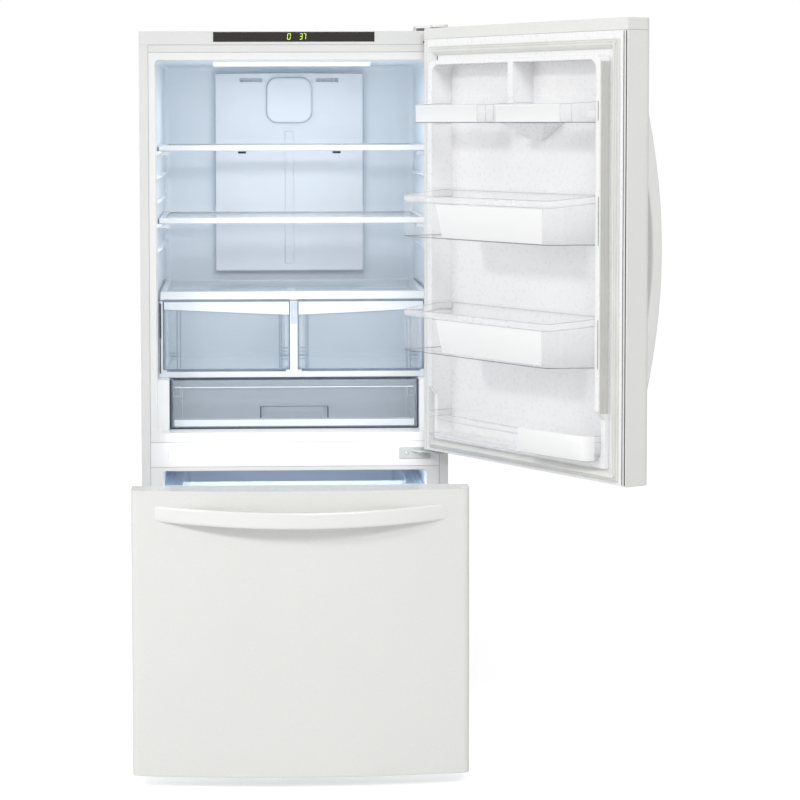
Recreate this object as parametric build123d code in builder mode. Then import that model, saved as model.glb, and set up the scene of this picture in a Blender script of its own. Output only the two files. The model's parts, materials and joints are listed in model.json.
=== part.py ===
"""Bottom freezer refrigerator, 30 inch class, with its upper door open and its freezer drawer pulled out.

Frame: millimetres, +X to the right, +Y into the cabinet, +Z up. The origin is on the floor, straight
below the middle of the cabinet's front plane. The door and the drawer are modelled shut, then swung
and pulled to where they stand.
"""

import os
from math import cos, radians, sin

from build123d import *

os.makedirs("parts", exist_ok=True)

# ---------------------------------------------------------------- driving sizes
# Cabinet
CASE_WIDTH = 756.0
CASE_DEPTH = 711.0
CASE_TOP = 1711.0
SIDE_BOTTOM = 24.0        # lower edge of the side panels
DECK_BOTTOM = 46.0        # underside of the steel floor
SHEET = 1.0               # painted steel
DECK_SHEET = 1.2
FLANGE = 22.0             # front and rear returns of the side panels
SEAT = 0.3                # clearance between pieces that seat on each other
RUN = 0.4                 # clearance between pieces that slide on each other
SHAFT_FIT = 0.05          # radial clearance of a pin or shaft in its bore

# Front rail between the compartments, and the control strip above them
MULLION_BOTTOM = 642.0
MULLION_HEIGHT = 61.0
MULLION_DEPTH = 18.0
STRIP_HEIGHT = 33.0
STRIP_DEPTH = 36.0

# Insulation between the case and the liners, which gives the two compartments their openings
FRESH_SIDE_FOAM = 39.0
FREEZER_SIDE_FOAM = 53.0
CEILING_FOAM = 70.0
BACK_FOAM = 56.0
SILL = 23.0               # from the front rail up to the upper compartment's floor
LINTEL = 10.0             # from the front rail down to the freezer's ceiling
FREEZER_FLOOR = 88.0
LINER_WALL = 2.5
OPENING_RADIUS = 10.0
BACK_RADIUS = 16.0
LAND = 19.0               # height of the liner's flange above the upper opening
HUMP_LENGTH = 230.0       # the freezer floor steps up over the machine space
STEP_TOP = 268.0          # the steel floor steps up to here
STEP_FOAM = 45.0
HUMP_FOAM = 47.0

# Door and drawer front
GASKET_GAP = 12.0         # from the cabinet's front plane to the backs of door and drawer
PANEL_EDGE = 66.0         # thickness at the side edges
BOW = 28.0                # how far the front swells at the middle
PANEL_RADIUS = 16.0
PANEL_RETURN = 12.0
DOOR_LAP = 16.0           # the door laps over the front rail
DOOR_ABOVE = 5.0          # and ends above the case
FRONT_GAP = 14.0          # between door and drawer
DRAWER_BOTTOM = 29.0
CAP = 14.0                # how deep the end caps plug into the skin
CROWN = 27.0              # height of the top cap above the skin
HINGE_INSET = 25.0
HINGE_Y = -40.0
PIN_RADIUS = 6.0
PIN_LENGTH = 24.0
DOOR_OPEN = 121.6         # degrees, as it stands
DRAWER_PULL = 500.0       # as it stands

# Inside of the door
RING_SIDE_GAP = 19.0      # from the liner to the raised ring round the door's hollow
RING_TOP_GAP = 5.0
RING_DROP = 4.0           # the ring ends below the floor of the compartment
RING_WIDTH = 15.0
RING_TOP_WIDTH = 10.0
RING_FRONT = 18.0         # how far the ring reaches into the cabinet
RING_STEP_RISE = 124.0    # below this height over the floor the ring stays outside the cabinet
POCKET_DEPTH = 30.0       # the hollow's floor behind the door's back plane
RIB_WIDTH = 20.0
GASKET_WIDTH = 22.0
GASKET_INSET = 26.0       # from the side edges of door and drawer

# Bins in the door: floor height, height of the back and of the front, reach into the cabinet
BIN_WALL = 2.2
BIN_SIDE_GAP = 6.0
HOLLOW_RADIUS = 22.0      # corners of the door's hollow
FULL_BIN_BACK = 116.0
FULL_BIN_FRONT = 98.0
FULL_BIN_REACH = 109.0
FULL_BIN_SWELL = 3.0
HALF_BIN_DROP = 139.0     # its floor below the top of the hollow
LOWER_BIN_RISE = 208.0    # its floor above the bottom of the hollow
MIDDLE_BIN_SHIFT = 1.0    # above the middle between these two
HALF_BIN_BACK = 62.0
HALF_BIN_FRONT = 43.0
HALF_BIN_REACH = 76.0
BOTTOM_BIN_HEIGHT = 58.0
BOTTOM_BIN_REACH = 36.0
BOTTOM_BIN_SWELL = 18.0

# Fresh food interior
INNER_FRONT = 118.0       # the shelves and crispers start behind the door's bins
SHELF_SIDE_GAP = 4.0
SHELF_BACK_GAP = 92.0
SHELF_THICKNESS = 14.0
LEDGE_DROP = 223.0        # the top ledge below the ceiling
LEDGE_RISE = 110.0        # the lowest ledge above the crispers' cover
LEDGE_COUNT = 5
LEDGE_REACH = 11.0
TUB_BACK_GAP = 75.0       # behind the crispers and the pantry drawer
UPPER_SHELF_LEDGE = 0
LOWER_SHELF_LEDGE = 3
GLASS = 4.0
CRISPER_HEIGHT = 171.0
CRISPER_WALL = 2.5
COVER_HEIGHT = 19.0
DIVIDER_WIDTH = 19.0
PANTRY_ROOM = 125.0       # from the floor to the crisper frame
FRAME_SILL = 14.0
RUNNER_LIFT = 5.0         # the crispers run this far above the sill
CRISPER_TOP_GAP = 6.0
SHOULDER_WIDTH = 28.0     # the liner's shoulders beside the pantry drawer
SHOULDER_FRONT = 60.0
PANTRY_SIDE_GAP = 5.0
PANTRY_FRONT = 80.0
PANTRY_TOP_GAP = 4.0
DUCT_HALF = 201.0
DUCT_LOW_GAP = 19.0
DUCT_TOP_GAP = 18.0
DUCT_DEPTH = 22.0
DIFFUSER = 122.0
DIFFUSER_DEPTH = 13.0

# Freezer interior
RAIL_LIFT = 1.0           # the slides pass this far above the rounded edge of the stepped floor
RAIL_BACK_GAP = 34.0
RAIL_FRONT = 26.0
RAIL_SHEET = 1.5
RAIL_SPAN = 46.0
RAIL_DEEP = 13.5
RAIL_LUG = 6.0            # the inner rail stands out this far towards the basket
BEARER_REACH = 12.0
BASKET_SIDE_GAP = 6.4
BASKET_FLOOR_GAP = 24.0
BASKET_TOP_GAP = 29.0     # below the tray
BASKET_BACK_GAP = 5.0
BASKET_WALL = 2.5
TRAY_SIDE_GAP = 45.0
TRAY_TOP_GAP = 36.0
TRAY_BACK_GAP = 40.0
TRAY_HEIGHT = 91.0
TRAY_FRONT = 60.0
EVAPORATOR_ROOM = 75.0    # behind the face of the panel before the evaporator

# Machine space
COMPRESSOR_RADIUS = 78.0
COMPRESSOR_BACK_GAP = 121.0
FEET_LONG = 170.0         # spacing of the compressor's rubber feet
FEET_WIDE = 94.0
FOOT_MARGIN = 15.0
COMPRESSOR_HEIGHT = 168.0
FAN_RADIUS = 62.0
FROST_FAN_RADIUS = 50.0
SHAFT_RADIUS = 3.0
WHEEL_RADIUS = 18.0
WHEEL_WIDTH = 20.0
FOOT_RADIUS = 19.0
STUD_RADIUS = 6.0

# ---------------------------------------------------------------- derived places
HALF = CASE_WIDTH / 2
INSIDE = HALF - SHEET
MULLION_TOP = MULLION_BOTTOM + MULLION_HEIGHT
FRESH_HALF = HALF - FRESH_SIDE_FOAM
FRESH_FLOOR = MULLION_TOP + SILL
FRESH_CEILING = CASE_TOP - CEILING_FOAM
FREEZER_HALF = HALF - FREEZER_SIDE_FOAM
FREEZER_CEILING = MULLION_BOTTOM - LINTEL
LINER_DEPTH = CASE_DEPTH - BACK_FOAM
HUMP_FRONT = LINER_DEPTH - HUMP_LENGTH
HUMP_TOP = STEP_TOP + HUMP_FOAM
STEP_FRONT = HUMP_FRONT + STEP_FOAM
DOOR_BOTTOM = MULLION_TOP - DOOR_LAP
DOOR_TOP = CASE_TOP + DOOR_ABOVE
SKIN_TOP = DOOR_TOP - CROWN
DRAWER_TOP = DOOR_BOTTOM - FRONT_GAP
HINGE_X = HALF - HINGE_INSET
RING_HALF = FRESH_HALF - RING_SIDE_GAP
RING_BOTTOM = FRESH_FLOOR - RING_DROP
RING_TOP = FRESH_CEILING - RING_TOP_GAP
RING_STEP = FRESH_FLOOR + RING_STEP_RISE
HOLLOW_HALF = RING_HALF - RING_WIDTH
HOLLOW_BOTTOM = RING_BOTTOM + RING_WIDTH
HOLLOW_TOP = RING_TOP - RING_TOP_WIDTH
GASKET_OUT = HALF - GASKET_INSET
HALF_BIN_FLOOR = HOLLOW_TOP - HALF_BIN_DROP
LOWER_BIN_FLOOR = HOLLOW_BOTTOM + LOWER_BIN_RISE
MIDDLE_BIN_FLOOR = (HALF_BIN_FLOOR + LOWER_BIN_FLOOR) / 2 + MIDDLE_BIN_SHIFT
SHELF_HALF = FRESH_HALF - SHELF_SIDE_GAP
SHELF_DEPTH = LINER_DEPTH - INNER_FRONT - SHELF_BACK_GAP
TUB_BACK = LINER_DEPTH - TUB_BACK_GAP
FRAME_BOTTOM = FRESH_FLOOR + PANTRY_ROOM
SILL_TOP = FRAME_BOTTOM + FRAME_SILL
CRISPER_FLOOR = SILL_TOP + RUNNER_LIFT
CRISPER_TOP = CRISPER_FLOOR + CRISPER_HEIGHT
COVER_BOTTOM = CRISPER_TOP + CRISPER_TOP_GAP
COVER_LID = COVER_BOTTOM + COVER_HEIGHT
LEDGE_TOP = FRESH_CEILING - LEDGE_DROP
LEDGE_STEP = (LEDGE_TOP - COVER_LID - LEDGE_RISE) / (LEDGE_COUNT - 1)
PANTRY_HALF = FRESH_HALF - SHOULDER_WIDTH - PANTRY_SIDE_GAP
PANTRY_TOP = FRAME_BOTTOM - PANTRY_TOP_GAP
PANTRY_DEPTH = TUB_BACK - PANTRY_FRONT
EVAPORATOR_COVER = LINER_DEPTH - EVAPORATOR_ROOM
TRAY_HALF = FREEZER_HALF - TRAY_SIDE_GAP
TRAY_TOP = FREEZER_CEILING - TRAY_TOP_GAP
TRAY_BOTTOM = TRAY_TOP - TRAY_HEIGHT
TRAY_LENGTH = EVAPORATOR_COVER - TRAY_BACK_GAP - TRAY_FRONT
RAIL_LENGTH = EVAPORATOR_COVER - RAIL_BACK_GAP - RAIL_FRONT
FRAME_EDGE = HALF - FLANGE - SEAT          # what lies between the side panels' front returns
CASE_BACK = CASE_DEPTH - SHEET
STRIP_BOTTOM = CASE_TOP - STRIP_HEIGHT
HEADER_BOTTOM = FRESH_CEILING + LAND
DOOR_MIDDLE = (DOOR_BOTTOM + DOOR_TOP) / 2
DECK_TOP = DECK_BOTTOM + DECK_SHEET
DRAWER_MIDDLE = (DRAWER_BOTTOM + DRAWER_TOP) / 2
HINGE_LINE = Axis((HINGE_X, HINGE_Y, 0), (0, 0, 1))
PANEL_FACE = GASKET_GAP + PANEL_EDGE       # side edge of the front face, before the cabinet
RAIL_HEIGHT = HUMP_TOP + OPENING_RADIUS + RAIL_LIFT + RAIL_SPAN / 2
RAIL_STEP = RAIL_SHEET + RUN
RAIL_OUT = FREEZER_HALF - SEAT             # outer rail's web, then the middle and the inner one
RAIL_MIDDLE = RAIL_OUT - RAIL_STEP
RAIL_INNER = RAIL_MIDDLE - RAIL_STEP
BEARER_FACE = RAIL_INNER - RAIL_DEEP - RAIL_LUG
BEARER_IN = BEARER_FACE - BEARER_REACH
DYKE_HALF = BEARER_IN - 3.0
BASKET_HALF = BEARER_IN - BASKET_SIDE_GAP
BASKET_TOP = TRAY_BOTTOM - BASKET_TOP_GAP
BASKET_BOTTOM = FREEZER_FLOOR + BASKET_FLOOR_GAP
BACK_PLANE = Plane.XZ.offset(GASKET_GAP)   # back of the door and of the drawer front


def finish(piece, name):
    """Label a finished piece and write it to its own file."""
    piece.label = name
    export_step(piece, f"parts/{name}.step")


def swing(piece):
    """The door's pieces are modelled shut and swung about the hinge pins."""
    return piece.rotate(HINGE_LINE, DOOR_OPEN)


def pull(piece, share=1.0):
    """The drawer's pieces are modelled shut and pulled out of the cabinet."""
    return piece.moved(Location((0, -DRAWER_PULL * share, 0)))


def slab(x0, x1, y0, y1, z0, z1, mode=Mode.ADD):
    """A plain block between two corners, for the part that is being built."""
    centre = ((x0 + x1) / 2, (y0 + y1) / 2, (z0 + z1) / 2)
    with Locations(centre):
        Box(abs(x1 - x0), abs(y1 - y0), abs(z1 - z0), mode=mode)


# ================================================================ cabinet shell
def side_panel(side):
    """One folded side sheet with its front and rear returns, notched for the control strip."""
    with BuildPart() as panel:
        with BuildSketch(Plane.XY.offset(SIDE_BOTTOM)):
            with Locations((side * (HALF - FLANGE / 2), CASE_DEPTH / 2)):
                Rectangle(FLANGE, CASE_DEPTH)
            with Locations((side * (HALF - SHEET - FLANGE / 2), CASE_DEPTH / 2)):
                Rectangle(FLANGE, CASE_DEPTH - 2 * SHEET, mode=Mode.SUBTRACT)
        extrude(amount=CASE_TOP - SIDE_BOTTOM)
        slab(0, side * (HALF + 1), -1, STRIP_DEPTH + SEAT, STRIP_BOTTOM, CASE_TOP + 1, Mode.SUBTRACT)
        # rear return cut away behind the machine space, where the cover closes the cabinet
        slab(0, side * INSIDE, CASE_BACK - 1, CASE_DEPTH + 1, 0, STEP_TOP, Mode.SUBTRACT)
    return panel.part


finish(side_panel(-1), "side_panel_left")
finish(side_panel(1), "side_panel_right")

with BuildPart() as top_panel:
    slab(-INSIDE, INSIDE, STRIP_DEPTH + SEAT, CASE_BACK, CASE_TOP - SHEET, CASE_TOP)
    # the front edge steps down behind the control strip and ends in the header over the opening
    header_back = STRIP_DEPTH + SEAT
    strip_seat = STRIP_BOTTOM - SEAT
    with BuildSketch(Plane.YZ.offset(-FRAME_EDGE)):
        with BuildLine():
            Polyline(
                (header_back, CASE_TOP),
                (header_back + SHEET, CASE_TOP),
                (header_back + SHEET, strip_seat - SHEET),
                (SHEET, strip_seat - SHEET),
                (SHEET, HEADER_BOTTOM),
                (0, HEADER_BOTTOM),
                (0, strip_seat),
                (header_back, strip_seat),
                close=True,
            )
        make_face()
    extrude(amount=2 * FRAME_EDGE)
finish(top_panel.part, "top_panel")

BACK_SHEET_Y = CASE_BACK - 4.0
with BuildPart() as back_panel:
    back_low = STEP_TOP + DECK_SHEET + SEAT
    back_high = CASE_TOP - SHEET
    slab(-INSIDE, INSIDE, BACK_SHEET_Y - SHEET, BACK_SHEET_Y, back_low, back_high)
    # pressed stiffening ribs, standing out of the sheet
    rib_count = 5
    rib_pitch = 2 * FRAME_EDGE / rib_count
    rib_depth = 3.0
    with BuildSketch(Plane.XZ.offset(-BACK_SHEET_Y)):
        with Locations((0, (back_low + back_high) / 2)):
            with GridLocations(rib_pitch, 1, rib_count, 1):
                SlotOverall(back_high - back_low - 160.0, 26.0, rotation=90)
    extrude(amount=-rib_depth, taper=30)
finish(back_panel.part, "back_panel")

LEG_X = HALF - 45.0
LEG_Y = 62.0
WHEEL_X = HALF - 45.0
WHEEL_Y = CASE_DEPTH - 60.0
AXLE_RADIUS = 4.0
EAR = 3.0
with BuildPart() as base_deck:
    # the floor runs the full depth and carries the compressor; the step closes the insulated floor
    slab(-INSIDE, INSIDE, SHEET + SEAT, CASE_BACK, DECK_BOTTOM, DECK_TOP)
    slab(-FRAME_EDGE, FRAME_EDGE, SHEET + SEAT, SHEET + SEAT + DECK_SHEET, DECK_BOTTOM, DECK_TOP + 12.0)
    slab(-INSIDE, INSIDE, STEP_FRONT, STEP_FRONT + DECK_SHEET, DECK_TOP, STEP_TOP + DECK_SHEET)
    slab(-INSIDE, INSIDE, STEP_FRONT, BACK_SHEET_Y - SHEET - SEAT, STEP_TOP, STEP_TOP + DECK_SHEET)
    for side in (-1, 1):
        # the two levelling legs pass through thick bosses
        with BuildSketch(Plane.XY.offset(DECK_BOTTOM)):
            with Locations((side * LEG_X, LEG_Y)):
                Circle(FOOT_RADIUS - 4.0)
        extrude(amount=-10.0)
        with BuildSketch(Plane.XY.offset(DECK_TOP)):
            with Locations((side * LEG_X, LEG_Y)):
                Circle(STUD_RADIUS + SHAFT_FIT)
        extrude(amount=-30.0, mode=Mode.SUBTRACT)
        # ears and axle of each rear wheel
        for ear in (-1, 1):
            ear_x = side * WHEEL_X + ear * (WHEEL_WIDTH / 2 + RUN + EAR / 2)
            with BuildSketch(Plane.YZ.offset(ear_x - EAR / 2)):
                with Locations((WHEEL_Y, WHEEL_RADIUS)):
                    Circle(9.0)
                with Locations((WHEEL_Y, (WHEEL_RADIUS + DECK_BOTTOM) / 2)):
                    Rectangle(18.0, DECK_BOTTOM - WHEEL_RADIUS)
            extrude(amount=EAR)
        axle_half = WHEEL_WIDTH / 2 + RUN + EAR
        with BuildSketch(Plane.YZ.offset(side * WHEEL_X - axle_half)):
            with Locations((WHEEL_Y, WHEEL_RADIUS)):
                Circle(AXLE_RADIUS)
        extrude(amount=2 * axle_half)
finish(base_deck.part, "base_deck")


# ================================================================ liners and insulation
def fresh_block(grow):
    """The fresh food compartment as a block, larger all round by grow."""
    with BuildPart() as block:
        with BuildSketch(Plane.XZ):
            with Locations((0, (FRESH_FLOOR + FRESH_CEILING) / 2)):
                RectangleRounded(
                    2 * (FRESH_HALF + grow),
                    FRESH_CEILING - FRESH_FLOOR + 2 * grow,
                    OPENING_RADIUS + grow,
                )
        extrude(amount=-(LINER_DEPTH + grow))
        fillet(block.faces().sort_by(Axis.Y)[-1].edges(), BACK_RADIUS + grow)
    return block.part


def freezer_block(grow):
    """The freezer compartment as a block with its stepped floor, larger all round by grow."""
    with BuildPart() as block:
        with BuildSketch(Plane.YZ.offset(-FREEZER_HALF - grow)):
            with BuildLine():
                Polyline(
                    (0, FREEZER_FLOOR - grow),
                    (HUMP_FRONT + grow, FREEZER_FLOOR - grow),
                    (HUMP_FRONT + grow, HUMP_TOP - grow),
                    (LINER_DEPTH + grow, HUMP_TOP - grow),
                    (LINER_DEPTH + grow, FREEZER_CEILING + grow),
                    (0, FREEZER_CEILING + grow),
                    close=True,
                )
            make_face()
        extrude(amount=2 * (FREEZER_HALF + grow))
        fillet(block.edges().filter_by(Axis.Y), OPENING_RADIUS + grow)
    return block.part


LINER_OUT = LINER_WALL + SEAT
FOAM_FRONT = LINER_WALL + SEAT + 0.2
with BuildPart() as insulation_foam:
    foam_back = BACK_SHEET_Y - SHEET - SEAT
    foam_low = DECK_TOP + SEAT
    step_clear = STEP_TOP + DECK_SHEET + SEAT
    with BuildSketch(Plane.YZ.offset(-INSIDE + SEAT)):
        with BuildLine():
            Polyline(
                (FOAM_FRONT + DECK_SHEET, foam_low),
                (STEP_FRONT - SEAT, foam_low),
                (STEP_FRONT - SEAT, step_clear),
                (foam_back, step_clear),
                (foam_back, CASE_TOP - SHEET - SEAT),
                (STRIP_DEPTH + SHEET + 2 * SEAT, CASE_TOP - SHEET - SEAT),
                (STRIP_DEPTH + SHEET + 2 * SEAT, STRIP_BOTTOM - SHEET - 2 * SEAT),
                (FOAM_FRONT + DECK_SHEET, STRIP_BOTTOM - SHEET - 2 * SEAT),
                close=True,
            )
        make_face()
    extrude(amount=2 * (INSIDE - SEAT))
    add(fresh_block(LINER_OUT), mode=Mode.SUBTRACT)
    add(freezer_block(LINER_OUT), mode=Mode.SUBTRACT)
    slab(
        -FRAME_EDGE - SEAT, FRAME_EDGE + SEAT,
        0, MULLION_DEPTH + SEAT,
        MULLION_BOTTOM - SEAT, MULLION_TOP + SEAT,
        Mode.SUBTRACT,
    )
finish(insulation_foam.part, "insulation_foam")

FLOOR_RIB_TOP = FRESH_FLOOR + 5.0
with BuildPart() as fresh_food_liner:
    add(fresh_block(LINER_WALL))
    slab(-FRAME_EDGE, FRAME_EDGE, 0, LINER_WALL, MULLION_TOP + SEAT, HEADER_BOTTOM - SEAT)
    add(fresh_block(0), mode=Mode.SUBTRACT)
    for side in (-1, 1):
        wall = side * (FRESH_HALF + LINER_WALL / 2)
        ledge_in = side * (FRESH_HALF - LEDGE_REACH)
        # shelf ledges moulded in the side walls, thinner at their free edge
        for row in range(LEDGE_COUNT):
            top = LEDGE_TOP - row * LEDGE_STEP
            with BuildSketch(Plane.XZ.offset(-INNER_FRONT)):
                with BuildLine():
                    Polyline(
                        (wall, top),
                        (ledge_in, top),
                        (ledge_in, top - 4.0),
                        (wall, top - 12.0),
                        close=True,
                    )
                make_face()
            extrude(amount=INNER_FRONT - TUB_BACK)
        # a shoulder beside the pantry drawer carries the crisper frame
        shoulder_in, shoulder_out = FRESH_HALF - SHOULDER_WIDTH, FRESH_HALF + LINER_WALL
        shoulder_low, shoulder_top = FRESH_FLOOR - LINER_WALL, FRAME_BOTTOM - SEAT
        with BuildPart(mode=Mode.PRIVATE) as shoulder:
            with BuildSketch(Plane.XZ.offset(-SHOULDER_FRONT)) as profile:
                with Locations((side * (shoulder_in + shoulder_out) / 2, (shoulder_low + shoulder_top) / 2)):
                    Rectangle(shoulder_out - shoulder_in, shoulder_top - shoulder_low)
                inner_corner = profile.vertices().sort_by(Axis.Y)[-2:].sort_by(Axis.X)[0 if side > 0 else -1]
                fillet(inner_corner, 4.0)
            extrude(amount=SHOULDER_FRONT - TUB_BACK)
            add(fresh_block(LINER_WALL / 2), mode=Mode.INTERSECT)
        add(shoulder.part)
        # the pantry drawer runs on a rib of the floor
        rib_x = side * (PANTRY_HALF - 14.0)
        slab(
            rib_x - 5.0, rib_x + 5.0,
            PANTRY_FRONT + 10.0, TUB_BACK,
            FRESH_FLOOR - LINER_WALL / 2, FLOOR_RIB_TOP,
        )
finish(fresh_food_liner.part, "fresh_food_liner")

TRAY_LEDGE_TOP = TRAY_TOP - 12.0
with BuildPart() as freezer_liner:
    add(freezer_block(LINER_WALL))
    slab(-FRAME_EDGE, FRAME_EDGE, 0, LINER_WALL, DECK_TOP + 12.0 + SEAT, MULLION_BOTTOM - SEAT)
    add(freezer_block(0), mode=Mode.SUBTRACT)
    for side in (-1, 1):
        # ledges for the upper tray
        slab(
            side * (FREEZER_HALF - 22.0), side * (FREEZER_HALF + LINER_WALL / 2),
            TRAY_FRONT, TRAY_FRONT + TRAY_LENGTH - 40.0,
            TRAY_LEDGE_TOP - 7.0, TRAY_LEDGE_TOP,
        )
finish(freezer_liner.part, "freezer_liner")

# ================================================================ front rail and control strip
with BuildPart() as center_mullion:
    slab(-FRAME_EDGE, FRAME_EDGE, 0, MULLION_DEPTH, MULLION_BOTTOM, MULLION_TOP)
    slab(
        -FRAME_EDGE - 1, FRAME_EDGE + 1,
        LINER_WALL, MULLION_DEPTH + 1,
        MULLION_BOTTOM + LINER_WALL, MULLION_TOP - LINER_WALL,
        Mode.SUBTRACT,
    )
    # the blank, rounded recess at the left
    recess_x = -283.0
    recess_z = (MULLION_BOTTOM + MULLION_TOP) / 2
    with BuildSketch(Plane.XZ):
        with Locations((recess_x, recess_z)):
            RectangleRounded(59.0, 33.0, 8.0)
    extrude(amount=-1.0, mode=Mode.SUBTRACT)
finish(center_mullion.part, "center_mullion")

WINDOW_HALF = 197.0
WINDOW_BOTTOM = CASE_TOP - 26.0
WINDOW_TOP = CASE_TOP - 2.0
WINDOW_DEPTH = 3.0
STRIP_WALL = 2.5
SWITCH_X = HALF - 50.5
SWITCH_WIDTH = 23.0
SWITCH_LOW = STRIP_BOTTOM + 3.0
SWITCH_HIGH = STRIP_BOTTOM + 8.0
SWITCH_REACH = 4.0
with BuildPart() as control_panel:
    with BuildSketch(Plane.YZ.offset(-HALF)) as strip_section:
        with Locations((STRIP_DEPTH / 2, CASE_TOP - STRIP_HEIGHT / 2)):
            Rectangle(STRIP_DEPTH, STRIP_HEIGHT)
        fillet(strip_section.vertices().group_by(Axis.X)[0].sort_by(Axis.Y)[-1], 1.5)
    extrude(amount=CASE_WIDTH)
    # hollow from behind, with the window's seat left thick
    slab(
        -HALF + STRIP_WALL, HALF - STRIP_WALL,
        WINDOW_DEPTH + STRIP_WALL, STRIP_DEPTH + 1,
        STRIP_BOTTOM + STRIP_WALL, CASE_TOP - STRIP_WALL,
        Mode.SUBTRACT,
    )
    slab(-WINDOW_HALF, WINDOW_HALF, -1, WINDOW_DEPTH, WINDOW_BOTTOM, WINDOW_TOP, Mode.SUBTRACT)
    # slot of the door switch
    slab(
        SWITCH_X - SWITCH_WIDTH / 2, SWITCH_X + SWITCH_WIDTH / 2,
        -1, WINDOW_DEPTH + STRIP_WALL + 1,
        SWITCH_LOW, SWITCH_HIGH,
        Mode.SUBTRACT,
    )
finish(control_panel.part, "control_panel")

with BuildPart() as display_window:
    slab(
        -WINDOW_HALF + SEAT, WINDOW_HALF - SEAT,
        SEAT, WINDOW_DEPTH,
        WINDOW_BOTTOM + SEAT, WINDOW_TOP - SEAT,
    )
finish(display_window.part, "display_window")

with BuildPart() as door_switch:
    slab(
        SWITCH_X - SWITCH_WIDTH / 2 + RUN, SWITCH_X + SWITCH_WIDTH / 2 - RUN,
        -SWITCH_REACH, WINDOW_DEPTH + STRIP_WALL + 6.0,
        SWITCH_LOW + RUN, SWITCH_HIGH - RUN,
    )
    fillet(door_switch.faces().sort_by(Axis.Y)[0].edges(), 1.5)
finish(door_switch.part, "door_switch_plunger")

# ================================================================ hinges
HINGE_PLATE = 3.0
HINGE_FOOT_BACK = STRIP_DEPTH + 74.0
HINGE_FOOT_FRONT = STRIP_DEPTH + 6.0
HINGE_GAP = 2.0
ARM_Z = DOOR_TOP + HINGE_GAP + 0.6
ARM_HALF = 17.0
with BuildPart() as top_hinge:
    # plan of the plate: rounded at the pin, broad over the cabinet
    with BuildSketch(Plane.XY.offset(ARM_Z)):
        with Locations((HINGE_X, HINGE_Y)):
            Circle(ARM_HALF)
        with Locations((HINGE_X, (HINGE_Y + HINGE_FOOT_FRONT) / 2)):
            Rectangle(2 * ARM_HALF, HINGE_FOOT_FRONT - HINGE_Y)
    extrude(amount=HINGE_PLATE)
    slab(
        HINGE_X - 3 * ARM_HALF, HINGE_X + ARM_HALF,
        HINGE_FOOT_FRONT - HINGE_PLATE, HINGE_FOOT_FRONT,
        CASE_TOP, ARM_Z + HINGE_PLATE,
    )
    slab(
        HINGE_X - 3 * ARM_HALF, HINGE_X + ARM_HALF,
        HINGE_FOOT_FRONT - HINGE_PLATE, HINGE_FOOT_BACK,
        CASE_TOP, CASE_TOP + HINGE_PLATE,
    )
    with BuildSketch(Plane.XY.offset(ARM_Z)):
        with Locations((HINGE_X, HINGE_Y)):
            Circle(PIN_RADIUS)
    extrude(amount=-(PIN_LENGTH - 6.0))
finish(top_hinge.part, "top_hinge")

COVER_WALL = 2.0
COVER_TOP = ARM_Z + HINGE_PLATE + SEAT + COVER_WALL
COVER_HALF = ARM_HALF + COVER_WALL + 1.0
COVER_LEFT = HINGE_X - 3 * ARM_HALF - COVER_WALL - 1.0
COVER_RIGHT = min(HINGE_X + COVER_HALF, HALF)
with BuildPart() as top_hinge_cover:
    with BuildSketch(Plane.XY.offset(DOOR_TOP + HINGE_GAP)) as cover_plan:
        with BuildLine():
            Polyline(
                (COVER_RIGHT, HINGE_FOOT_BACK + 6.0),
                (COVER_LEFT, HINGE_FOOT_BACK + 6.0),
                (COVER_LEFT, HINGE_FOOT_FRONT - 10.0),
                (HINGE_X - COVER_HALF, HINGE_FOOT_FRONT - 40.0),
                (HINGE_X - COVER_HALF, HINGE_Y - COVER_HALF),
                (COVER_RIGHT, HINGE_Y - COVER_HALF),
                close=True,
            )
        make_face()
        fillet(cover_plan.vertices().group_by(Axis.Y)[0], 16.0)
        fillet(cover_plan.vertices().group_by(Axis.Y)[-1], 6.0)
    extrude(amount=COVER_TOP - DOOR_TOP - HINGE_GAP)
    # behind the door the cover reaches down to the top panel
    slab(
        COVER_LEFT, COVER_RIGHT,
        STRIP_DEPTH - 4.0, HINGE_FOOT_BACK + 6.0,
        CASE_TOP + SEAT, DOOR_TOP + HINGE_GAP,
    )
    with BuildSketch(Plane.XY.offset(CASE_TOP)):
        add(offset(cover_plan.sketch, amount=-COVER_WALL, mode=Mode.PRIVATE))
    extrude(amount=COVER_TOP - COVER_WALL - CASE_TOP, mode=Mode.SUBTRACT)
finish(top_hinge_cover.part, "top_hinge_cover")

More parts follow.
